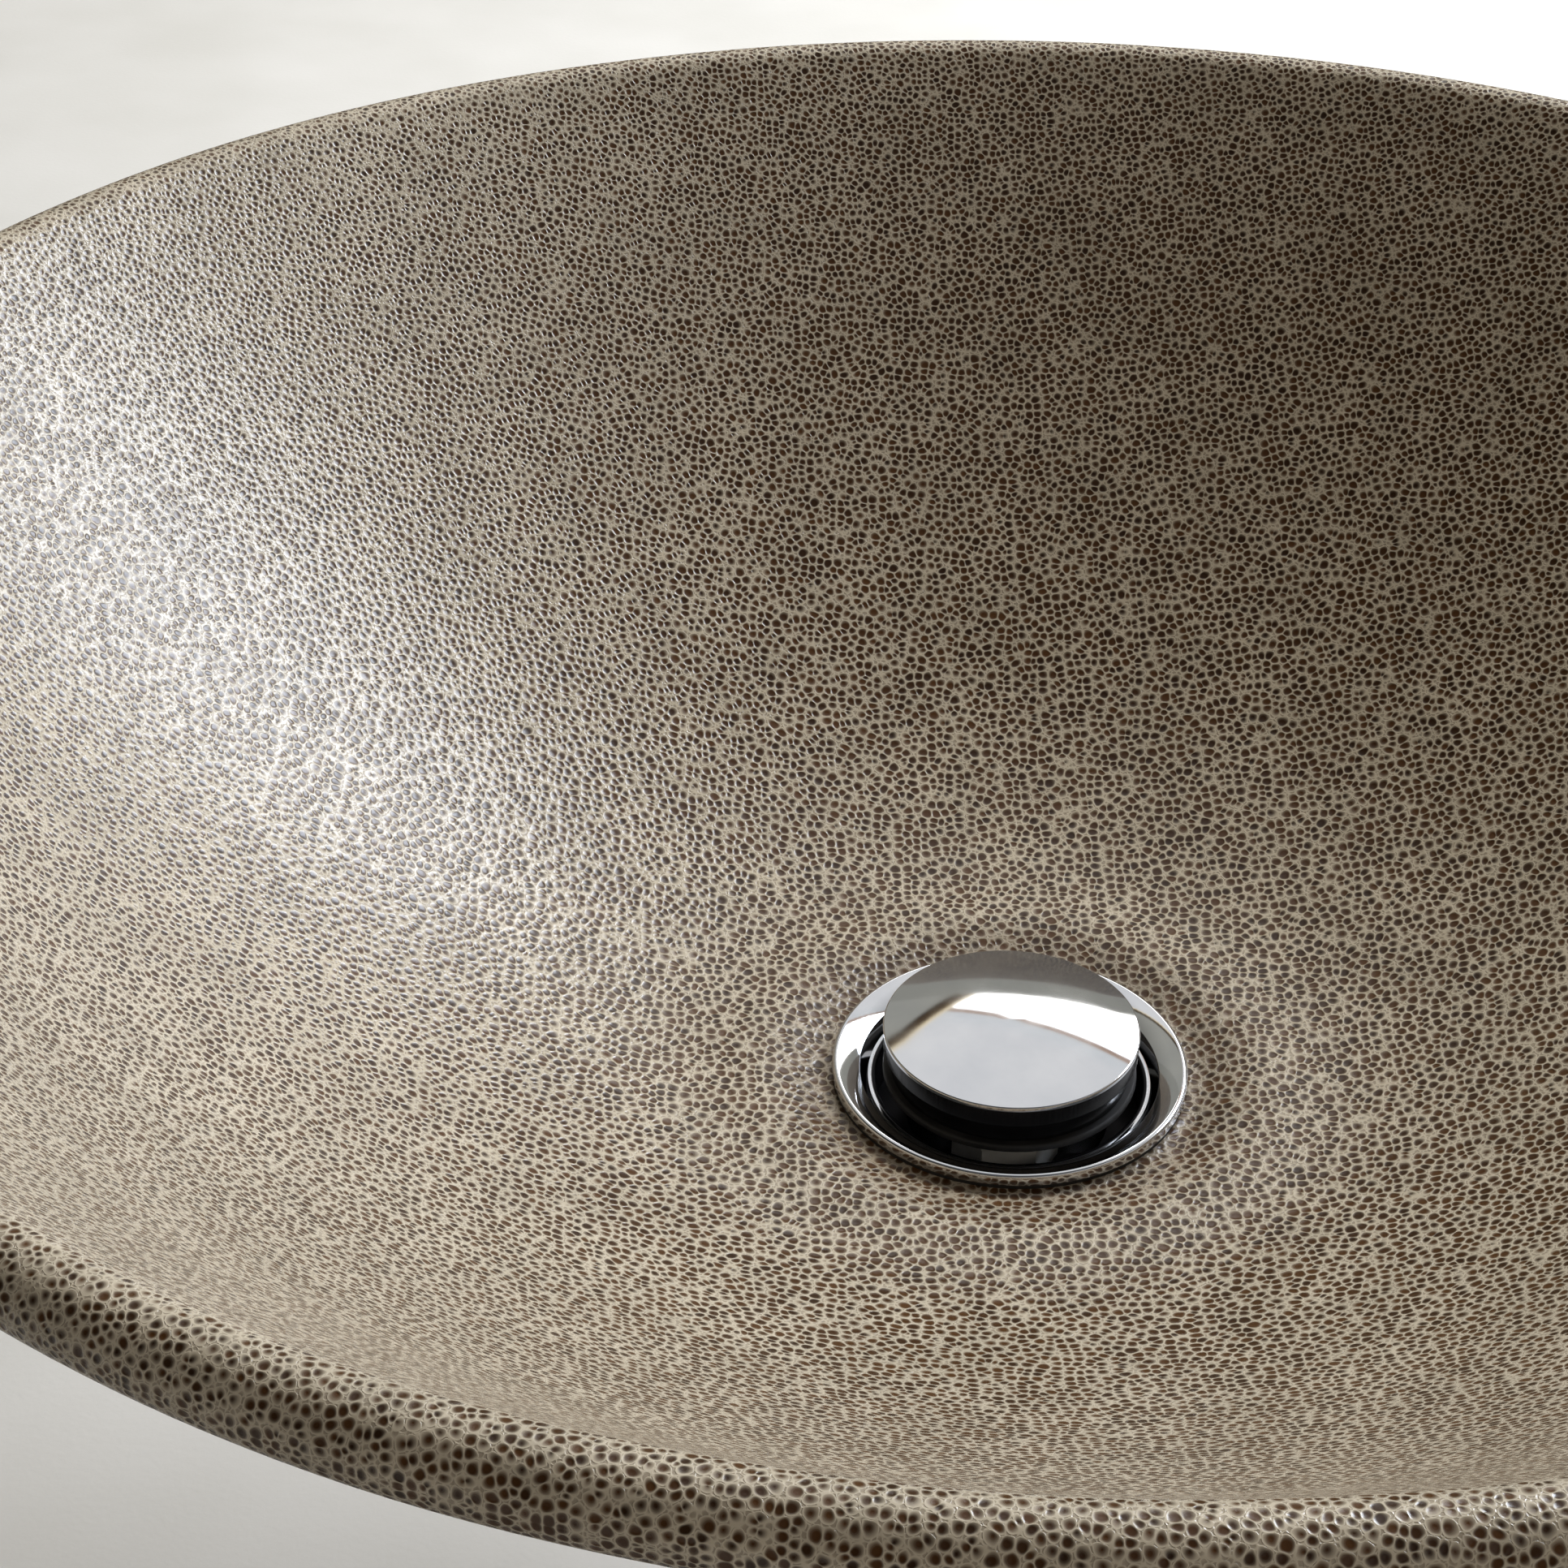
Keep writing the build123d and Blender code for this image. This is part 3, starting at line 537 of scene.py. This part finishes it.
# Black nitrile rubber, pressed in a mould: matt and finely grained, with a grey bloom
black_rubber = two_toned(
    "pressed_black_rubber",
    RUBBER_COLOURS,
    patch=0.005,
    grain=0.0003,
    roughness=(0.52, 0.74),
    relief=0.00001,
    ior=1.52,
    detail=3.0,
)
dress(black_rubber, "flange_seal")

# ---- Drain body ----
# The drain's rim, dish, throat and threaded tube, turned from one brass bar and chromed. The
# tube is cut with a parallel pipe thread, and a four-armed spider inside it holds the
# stopper's cartridge.
FLANGE_TOP = 0.029
BODY_END = -0.033
THREAD_RADIUS = 0.02095
THREAD_PITCH = 0.002309
THREAD_DEPTH = 0.0012
BORE_RADIUS = 0.0184
THROAT_RADIUS = 0.0240
THROAT_OUTER = 0.0256
THROAT_FLOOR = 0.0168
CONE_TOP = 0.0164
CONE_LOW = 0.0142
STEP_RADIUS = 0.0255
STEP_DEPTH = 0.0037
DISH_RADIUS = 0.0270
DISH_DEPTH = 0.0018
FLANGE_RADIUS = 0.0320
RIM_THICKNESS = 0.0020
RIM_FLAT = 0.0038
CREST_WIDTH = 0.0010
EDGE_ROUND = 0.0006
SPIDER_TOP = 0.006
SPIDER_BOTTOM = -0.002
SPIDER_RIBS = 4
SPIDER_RIB = 0.0024
SPIDER_REACH = 0.0188
BOSS_RADIUS = 0.0095
BOSS_HOLE = 0.00701
BOSS_STEPS = 10
CHROME_COLOURS = "#d9dadd", "#e7e7e8"
CHROME_ROUGHNESS = 0.025, 0.075
HAZE_PATCH = 0.012
MARK_WIDTH = 0.0002
MARK_RELIEF = 0.0000002
# Inside the drain's throat and bore the chrome is rougher, and painted near black as shade.
THROAT_SHADE_COLOUR = "#1c1b1c"
DULL_ROUGHNESS = 0.45
DULL_AND_SHADE_EDGE = -0.0001, 0.0002
THROAT_DULL_AND_SHADE = 0.0250
THROAT_DULL_AND_SHADE_STEP = 0.0003


def round_corner(before, corner, after, radius, count=6):
    """Points of the arc that rounds a corner of an outline."""
    back = (Vector(before) - Vector(corner)).normalized()
    on = (Vector(after) - Vector(corner)).normalized()
    half = back.angle(on) / 2
    to_centre = (back + on).normalized() * (radius / sin(half))
    run = radius * cos(half) / sin(half)
    first = (back * run - to_centre).normalized()
    last = (on * run - to_centre).normalized()
    centre = Vector(corner) + to_centre
    return [tuple(centre + first.slerp(last, i / count) * radius) for i in range(count + 1)]


def drain_outline():
    """The drain body's section, from the tube's lower end up the bore and down the outside."""
    corners = (
        (BORE_RADIUS, BODY_END, 0.0),
        (BORE_RADIUS, THROAT_FLOOR, 0.0),
        (THROAT_RADIUS, THROAT_FLOOR, 0.0),
        (THROAT_RADIUS, FLANGE_TOP - STEP_DEPTH, EDGE_ROUND),
        (STEP_RADIUS, FLANGE_TOP - STEP_DEPTH, 0.0),
        (DISH_RADIUS, FLANGE_TOP - DISH_DEPTH, EDGE_ROUND),
        (FLANGE_RADIUS - CREST_WIDTH, FLANGE_TOP, 0.0),
        (FLANGE_RADIUS, FLANGE_TOP, EDGE_ROUND),
        (FLANGE_RADIUS, FLANGE_TOP - RIM_THICKNESS, 0.0),
        (FLANGE_RADIUS - RIM_FLAT, FLANGE_TOP - RIM_THICKNESS, 0.0),
        (THROAT_OUTER, FLANGE_TOP - STEP_DEPTH - THROAT_OUTER + THROAT_RADIUS, 0.0),
        (THROAT_OUTER, CONE_TOP, 0.0),
        (THREAD_RADIUS, CONE_LOW, 0.0),
    )
    points = []
    for i, (radius, height, edge) in enumerate(corners):
        here = (radius, height)
        before, after = corners[i - 1][:2], corners[(i + 1) % len(corners)][:2]
        points += round_corner(before, here, after, edge) if edge else [here]
    plain_rows = len(points)
    points += line_points(points[-1], (THREAD_RADIUS, BODY_END), THREAD_PITCH / 10)
    return points, [0.0] * plain_rows + [1.0] * (len(points) - plain_rows)


def spider_faces(start):
    """The spider as one closed shell: its corners, and its faces numbered from start."""
    half = SPIDER_RIB / 2
    root = (BOSS_RADIUS**2 - half**2) ** 0.5
    free = Vector((root, half)).angle(Vector((1.0, 0.0)))
    outer = []
    for rib in range(SPIDER_RIBS):
        bearing = rib * 2 * pi / SPIDER_RIBS
        along, across = cos(bearing), sin(bearing)
        for x, y in ((root, -half), (SPIDER_REACH, -half), (SPIDER_REACH, half), (root, half)):
            outer.append((x * along - y * across, x * across + y * along))
        for i in range(1, BOSS_STEPS):
            angle = bearing + free + (2 * pi / SPIDER_RIBS - 2 * free) * i / BOSS_STEPS
            outer.append((BOSS_RADIUS * cos(angle), BOSS_RADIUS * sin(angle)))
    count = len(outer)
    inner = [tuple(Vector(p).normalized() * BOSS_HOLE) for p in outer]
    corners = [(x, y, z) for z in (SPIDER_BOTTOM, SPIDER_TOP) for x, y in outer + inner]
    faces = []
    for i in range(count):
        j = (i + 1) % count
        low, low_in, top, top_in = ((i + k * count, j + k * count) for k in range(4))
        faces.append((low[0], low[1], top[1], top[0]))
        faces.append((low_in[1], low_in[0], top_in[0], top_in[1]))
        faces.append((top[0], top[1], top_in[1], top_in[0]))
        faces.append((low[1], low[0], low_in[0], low_in[1]))
    return corners, [tuple(start + corner for corner in face) for face in faces]


def turning_marks(tree, place, spacing):
    """Fine rings round the Z axis, as a lathe or a polishing wheel leaves them."""
    flat = add_node(tree, "ShaderNodeVectorMath", place, (1.0, 1.0, 0.0), operation="MULTIPLY")
    out = add_node(tree, "ShaderNodeVectorMath", flat, operation="LENGTH")
    height = add_node(tree, "ShaderNodeSeparateXYZ", place).outputs[2]
    section = add_node(tree, "ShaderNodeCombineXYZ", out, height)
    return patches(tree, section, spacing)


def plated_chrome(name, dull_and_shaded_inside=False):
    """Bright chrome plate over polished brass: a near mirror, faintly hazed where it is wiped.

    Its polishing marks are rings of a fifth of a millimetre, too fine to see but for a glint.
    Plating hardly reaches inside a tube, which stays matt; its near-black colour there is painted
    shade.
    """
    material, tree, place = start_material(name)
    haze = patches(tree, place, HAZE_PATCH, 4.0)
    colour = add_node(tree, "ShaderNodeMix", haze, *map(linear, CHROME_COLOURS), data_type="RGBA")
    rough = add_node(tree, "ShaderNodeMapRange", haze, 0.0, 1.0, *CHROME_ROUGHNESS)
    # Inside the throat and bore: a duller roughness, and a near-black painted shade
    if dull_and_shaded_inside:
        spot = add_node(tree, "ShaderNodeSeparateXYZ", place).outputs
        flat = add_node(tree, "ShaderNodeCombineXYZ", spot[0], spot[1])
        out = add_node(tree, "ShaderNodeVectorMath", flat, operation="LENGTH")
        wall = (spot[2], CONE_LOW, CONE_LOW + THROAT_DULL_AND_SHADE_STEP, BORE_RADIUS, THROAT_DULL_AND_SHADE)
        wall = add_node(tree, "ShaderNodeMapRange", *wall)
        inside = add_node(tree, "ShaderNodeMath", wall, out, operation="SUBTRACT")
        inside = add_node(tree, "ShaderNodeMapRange", inside, *DULL_AND_SHADE_EDGE)
        throat_shade = (inside, colour, linear(THROAT_SHADE_COLOUR))
        colour = add_node(tree, "ShaderNodeMix", *throat_shade, data_type="RGBA")
        rough = add_node(tree, "ShaderNodeMix", inside, rough, DULL_ROUGHNESS, data_type="FLOAT")
    marks = turning_marks(tree, place, MARK_WIDTH)
    finish_material(tree, colour, rough, marks, MARK_RELIEF, Metallic=1.0)
    return material


chrome = plated_chrome("plated_bright_chrome")
drain_chrome = plated_chrome("plated_drain_chrome", dull_and_shaded_inside=True)
section, threaded = drain_outline()
drain = turn(
    "threaded_drain_body",
    section,
    drain_chrome,
    sides=160,
    threaded=threaded,
    thread_pitch=THREAD_PITCH,
    thread_depth=THREAD_DEPTH,
    thread_low_end=BODY_END,
    thread_high_end=CONE_LOW,
)
shell = drain.data
tube_corners = [tuple(v.co) for v in shell.vertices]
tube_faces = [tuple(f.vertices) for f in shell.polygons]
spider_corners, spider_sides = spider_faces(len(tube_corners))
whole = bpy.data.meshes.new("threaded_drain_body")
whole.from_pydata(tube_corners + spider_corners, [], tube_faces + spider_sides)
whole.materials.append(drain_chrome)
whole.shade_smooth()
whole.set_sharp_from_angle(angle=SHARP_ANGLE)
drain.data = whole
bpy.data.meshes.remove(shell)
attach(drain, "basin_and_drain")
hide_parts("drain_body")

# ---- Gasket and friction washer ----
# A stepped rubber gasket seals the drain hole from below. A slip washer of natural nylon
# lies under it, so that the nut can turn without twisting the rubber.
NYLON_COLOURS = "#d3cbb5", "#e6e0d0"

# Natural nylon, injection moulded: milky and a little waxy, with slow flow marks
natural_nylon = two_toned(
    "moulded_natural_nylon",
    NYLON_COLOURS,
    patch=0.004,
    grain=0.0006,
    roughness=(0.34, 0.48),
    relief=0.000008,
    ior=1.53,
)
dress(black_rubber, "basin_gasket")
dress(natural_nylon, "friction_washer")

# ---- Lock nut ----
# A hexagon nut cut from brass bar and left bare. It is screwed up the drain's thread and
# clamps the basin between the gasket and the rim.
BRASS_COLOURS = "#9c7b41", "#c9a561"
BRASS_ROUGHNESS = 0.42, 0.24
TARNISH_PATCH = 0.007
LATHE_RELIEF = 0.000006


def turned_brass():
    """Bare turned brass: warm yellow with lathe rings of 0.2 mm, browner where it is tarnished."""
    material, tree, place = start_material("turned_bare_brass")
    tarnish = patches(tree, place, TARNISH_PATCH, 4.0)
    tones = (tarnish, *map(linear, BRASS_COLOURS))
    colour = add_node(tree, "ShaderNodeMix", *tones, data_type="RGBA")
    rough = add_node(tree, "ShaderNodeMapRange", tarnish, 0.0, 1.0, *BRASS_ROUGHNESS)
    marks = turning_marks(tree, place, MARK_WIDTH)
    finish_material(tree, colour, rough, marks, LATHE_RELIEF, Metallic=1.0)
    return material


bare_brass = turned_brass()
dress(bare_brass, "lock_nut")

# ---- Tailpiece ----
# A drawn brass tube with a collar, chromed, which takes the water down to the trap. A flat
# rubber ring seals it against the end of the drain's tube.
dress(black_rubber, "tailpiece_seal")
dress(chrome, "tailpiece")

# ---- Stopper ----
# The part that is pressed to open and shut the drain: a thin domed plate of chromed brass on
# a glossy black moulded plug, a rubber seal and a nylon retainer, all on one steel stud.
PLUG_COLOURS = "#050506", "#101012"
PLUG_ROUGHNESS = 0.12, 0.26
PLUG_PATCH = 0.006
DRAW_MARK = 0.0003
DRAW_STRETCH = 1.0, 1.0, 0.04
DRAW_RELIEF = 0.000002
STEEL_COLOURS = "#8f8d88", "#b5b3ae"
STEEL_ROUGHNESS = 0.2, 0.34
STEEL_MARK = 0.00025
STEEL_STRETCH = 1.0, 1.0, 0.1
STEEL_RELIEF = 0.000003


def moulded_black():
    """Glossy black ABS from a polished mould, with the fine upright draw marks of its release.

    The marks are 0.3 mm apart, a little coarser than real ones, so that they show.
    """
    material, tree, place = start_material("moulded_black_plastic")
    upright = add_node(tree, "ShaderNodeVectorMath", place, DRAW_STRETCH, operation="MULTIPLY")
    marks = patches(tree, upright, DRAW_MARK)
    rough = add_node(tree, "ShaderNodeMapRange", marks, 0.0, 1.0, *PLUG_ROUGHNESS)
    tone = patches(tree, place, PLUG_PATCH)
    colour = add_node(tree, "ShaderNodeMix", tone, *map(linear, PLUG_COLOURS), data_type="RGBA")
    finish_material(tree, colour, rough, marks, DRAW_RELIEF, IOR=1.5, Specular_IOR_Level=0.25)
    return material


def drawn_steel():
    """Stainless steel drawn to wire or rod: grey, with fine marks along its length."""
    material, tree, place = start_material("drawn_stainless_steel")
    long = add_node(tree, "ShaderNodeVectorMath", place, STEEL_STRETCH, operation="MULTIPLY")
    marks = patches(tree, long, STEEL_MARK)
    rough = add_node(tree, "ShaderNodeMapRange", marks, 0.0, 1.0, *STEEL_ROUGHNESS)
    colour = add_node(tree, "ShaderNodeMix", marks, *map(linear, STEEL_COLOURS), data_type="RGBA")
    finish_material(tree, colour, rough, marks, STEEL_RELIEF, Metallic=1.0)
    return material


stainless_steel = drawn_steel()
dress(chrome, "stopper_cap")
dress(moulded_black(), "stopper_plug")
dress(black_rubber, "stopper_seal")
dress(natural_nylon, "seal_retainer")
dress(stainless_steel, "stopper_stud")

# ---- Click cartridge ----
# The push mechanism, moulded in white acetal: a plunger with guide fins, a cam that turns an
# eighth of a turn at each press, and a barrel with a threaded end cap. A steel spring lifts
# the plunger, a rubber ring seals its stem, and a brass nut holds the barrel in the spider.
ACETAL_COLOURS = "#dcdbd5", "#efeeea"
SPRING_TURNS = 7.0
SPRING_RADIUS = 0.0042
SPRING_WIRE = 0.00045
SPRING_SEAT = -0.027
SPRING_LENGTH = 0.0198
SPRING_GAP = 0.00005
COIL_STEPS = 48
WIRE_SIDES = 16


def winding_tree():
    """Geometry nodes that wind a round wire up the Z axis at one radius."""
    tree = bpy.data.node_groups.new("wound_wire", "GeometryNodeTree")
    face = tree.interface
    face.new_socket("Geometry", in_out="INPUT", socket_type="NodeSocketGeometry")
    for name in ("Turns", "Coil radius", "Wire radius", "Low end", "Height"):
        face.new_socket(name, in_out="INPUT", socket_type="NodeSocketFloat")
    face.new_socket("Finish", in_out="INPUT", socket_type="NodeSocketMaterial")
    face.new_socket("Wound", in_out="OUTPUT", socket_type="NodeSocketGeometry")
    given = add_node(tree, "NodeGroupInput").outputs
    coil = {
        "Resolution": COIL_STEPS,
        "Rotations": given["Turns"],
        "Start Radius": given["Coil radius"],
        "End Radius": given["Coil radius"],
        "Height": given["Height"],
    }
    coil = add_node(tree, "GeometryNodeCurveSpiral", coil)
    lift = add_node(tree, "ShaderNodeCombineXYZ", 0.0, 0.0, given["Low end"])
    coil = add_node(tree, "GeometryNodeSetPosition", {"Geometry": coil, "Offset": lift})
    round_wire = {"Resolution": WIRE_SIDES, "Radius": given["Wire radius"]}
    round_wire = add_node(tree, "GeometryNodeCurvePrimitiveCircle", round_wire)
    swept = {"Curve": coil, "Profile Curve": round_wire, "Fill Caps": True}
    swept = add_node(tree, "GeometryNodeCurveToMesh", swept)
    whole = add_node(tree, "GeometryNodeRealizeInstances", {"Geometry": swept})
    dressed = {"Geometry": whole, "Material": given["Finish"]}
    dressed = add_node(tree, "GeometryNodeSetMaterial", dressed)
    add_node(tree, "NodeGroupOutput", dressed)
    return tree


# White acetal, injection moulded: dense and smooth with a low, even shine
white_acetal = two_toned(
    "moulded_white_acetal",
    ACETAL_COLOURS,
    patch=0.005,
    grain=0.0005,
    roughness=(0.28, 0.4),
    relief=0.000005,
    ior=1.48,
)
dress(white_acetal, "plunger", "cam_rotor", "cartridge_housing", "cartridge_end_cap")
dress(black_rubber, "stem_ring", "housing_washer")
dress(bare_brass, "cartridge_nut")
spring = grow(
    "wound_spring",
    bpy.data.meshes.new("spring_start"),
    winding_tree(),
    {
        "Turns": SPRING_TURNS,
        "Coil radius": SPRING_RADIUS,
        "Wire radius": SPRING_WIRE,
        "Low end": SPRING_SEAT + SPRING_WIRE + SPRING_GAP,
        "Height": SPRING_LENGTH - 2 * (SPRING_WIRE + SPRING_GAP),
        "Finish": stainless_steel,
    },
)
spring.data.shade_smooth()
spring.data.set_sharp_from_angle(angle=SHARP_ANGLE)
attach(spring, "basin_and_drain")
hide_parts("cartridge_spring")
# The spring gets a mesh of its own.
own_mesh(spring)

# ---- Floor, light and camera ----
# A plain pale floor under the tailpiece's end. A tall window lights the bowl from behind and
# to the right, two soft fills open the shade, and mirrors see a pale ceiling.
FLOOR_HEIGHT = -0.1115
FLOOR_REACH = 1.35
FLOOR_SIDES = 96
FLOOR_COLOURS = "#c3c1bc", "#cbc9c5"
LAMP_DISTANCE = 2.0
# What mirrors see. Each line across the sky has its lean, and the heights it blurs between.
SILL_LINE = -0.285, 0.536, 0.636
POST_LINE = 0.95, 0.502, 0.602
RIM_LINE = 0.526, 0.532
BESIDE_POST = 0.53, 0.56
WINDOW_EDGE = 0.38, 0.43
WINDOW_GLOW = 4.0
MIRRORED_WAY = 0.078, 0.739, 0.669
MIRRORED_SPREAD = 0.70, 0.94
DIM_ROOM = 0.12
SOFT_SKY = 0.10
SEEN_SKY = 0.9
CAMERA_LENS = 65.03
CAMERA_PLACE = -0.0407, -0.4012, 0.3496
CAMERA_TILT = 56.93


def lamp(name, colour, power, azimuth, elevation, width, height):
    """A soft rectangular lamp that faces the basin from a bearing and a height in degrees."""
    data = bpy.data.lights.new(name, "AREA")
    data.shape = "RECTANGLE"
    data.size, data.size_y = width, height
    data.color = linear(colour)[:3]
    data.energy = power
    light = bpy.data.objects.new(name, data)
    bpy.context.scene.collection.objects.link(light)
    level, bearing = cos(radians(elevation)), radians(azimuth)
    away = Vector((cos(bearing) * level, sin(bearing) * level, sin(radians(elevation))))
    light.location = away * LAMP_DISTANCE
    light.rotation_euler = away.to_track_quat("Z", "Y").to_euler()
    return light


bearings = [2 * pi * i / FLOOR_SIDES for i in range(FLOOR_SIDES)]
floor_corners = [(FLOOR_REACH * cos(a), FLOOR_REACH * sin(a), FLOOR_HEIGHT) for a in bearings]
floor_mesh = bpy.data.meshes.new("floor")
floor_mesh.from_pydata(floor_corners, [], [tuple(range(FLOOR_SIDES))])
# Smooth limewashed plaster: pale and even, with faint cloudy trowel patches of 80 mm
limewash = two_toned(
    "limewashed_floor",
    FLOOR_COLOURS,
    patch=0.08,
    grain=0.002,
    roughness=(0.75, 0.9),
    relief=0.00002,
    ior=1.45,
    detail=3.0,
)
floor_mesh.materials.append(limewash)
floor = bpy.data.objects.new("floor", floor_mesh)
bpy.context.scene.collection.objects.link(floor)

world = bpy.data.worlds.new("studio")
bpy.context.scene.world = world
world.use_nodes = True
sky = world.node_tree
sky.nodes.clear()
rays = add_node(sky, "ShaderNodeLightPath").outputs
# A mirror near the drain sees, over the rim, a bright window with a brown sill, a pale ceiling
# past it, and to the left a cream post against a grey wall. Elsewhere the room is dim.
way = add_node(sky, "ShaderNodeTexCoord").outputs["Generated"]
aim = add_node(sky, "ShaderNodeSeparateXYZ", way).outputs
past = []
for lean, start, end in (SILL_LINE, POST_LINE):
    line = add_node(sky, "ShaderNodeMath", aim[0], lean, aim[2], operation="MULTIPLY_ADD")
    past.append(add_node(sky, "ShaderNodeMapRange", line, start, end))
past_sill, past_post = past
over_rim = add_node(sky, "ShaderNodeMapRange", aim[2], *RIM_LINE)
ramps = []
for share, stops in (
    (past_sill, (
        (0.0, "#ffffff"), (0.42, "#ffffff"), (0.46, "#8d6443"),
        (0.54, "#c5b1a3"), (0.58, "#dfe3e6"), (1.0, "#e6e7e9"),
    )),
    (past_post, (
        (0.0, "#a3a39c"), (0.10, "#a3a39c"), (0.20, "#3f3226"),
        (0.40, "#5a4936"), (0.46, "#f6e3bb"), (0.54, "#fff4dc"),
    )),
):
    ramps.append(add_node(sky, "ShaderNodeValToRGB", share))
    stop = ramps[-1].color_ramp.elements
    stop[0].color = linear(stops[0][1])
    stop[1].position, stop[1].color = stops[-1][0], linear(stops[-1][1])
    for position, colour in stops[1:-1]:
        stop.new(position).color = linear(colour)
beside = add_node(sky, "ShaderNodeMapRange", past_post, *BESIDE_POST)
beside = add_node(sky, "ShaderNodeMath", beside, over_rim, operation="MULTIPLY")
room = add_node(sky, "ShaderNodeMix", over_rim, linear("#96968f"), ramps[1], data_type="RGBA")
room = add_node(sky, "ShaderNodeMix", beside, room, ramps[0], data_type="RGBA")
glow = add_node(sky, "ShaderNodeMapRange", past_sill, *WINDOW_EDGE, WINDOW_GLOW, 1.0)
glow = add_node(sky, "ShaderNodeMix", beside, 1.0, glow, data_type="FLOAT")
toward = add_node(sky, "ShaderNodeVectorMath", way, MIRRORED_WAY, operation="DOT_PRODUCT")
toward = toward.outputs["Value"]
toward = add_node(sky, "ShaderNodeMapRange", toward, *MIRRORED_SPREAD, DIM_ROOM, 1.0)
toward = add_node(sky, "ShaderNodeMath", toward, glow, operation="MULTIPLY")
mirrored = (rays["Is Glossy Ray"], rays["Is Transmission Ray"])
mirrored = add_node(sky, "ShaderNodeMath", *mirrored, operation="MAXIMUM")
colour = add_node(sky, "ShaderNodeMix", mirrored, linear("#fffefc"), room, data_type="RGBA")
strength = add_node(sky, "ShaderNodeMix", mirrored, SOFT_SKY, toward, data_type="FLOAT")
seen = (rays["Is Camera Ray"], strength, SEEN_SKY)
strength = add_node(sky, "ShaderNodeMix", *seen, data_type="FLOAT")
pale = add_node(sky, "ShaderNodeBackground", {"Color": colour, "Strength": strength})
add_node(sky, "ShaderNodeOutputWorld", pale)

lamp("window", "#e8f1ff", power=44, azimuth=39, elevation=31, width=0.95, height=0.9)
# The fills light the glaze but put no shine on it.
high_fill = lamp(
    "high_fill", "#fffbf2", power=35, azimuth=74, elevation=45, width=1.4, height=0.5
)
high_fill.visible_glossy = False
room_fill = lamp(
    "room_fill", "#fff4e6", power=10, azimuth=-60, elevation=33, width=1.9, height=0.7
)
room_fill.visible_glossy = False

camera_data = bpy.data.cameras.new("camera")
camera_data.lens = CAMERA_LENS
camera_data.sensor_width = 36.0
camera = bpy.data.objects.new("camera", camera_data)
bpy.context.scene.collection.objects.link(camera)
camera.location = CAMERA_PLACE
camera.rotation_euler = (radians(CAMERA_TILT), 0.0, 0.0)
bpy.context.scene.camera = camera
bpy.context.scene.view_settings.view_transform = "Standard"
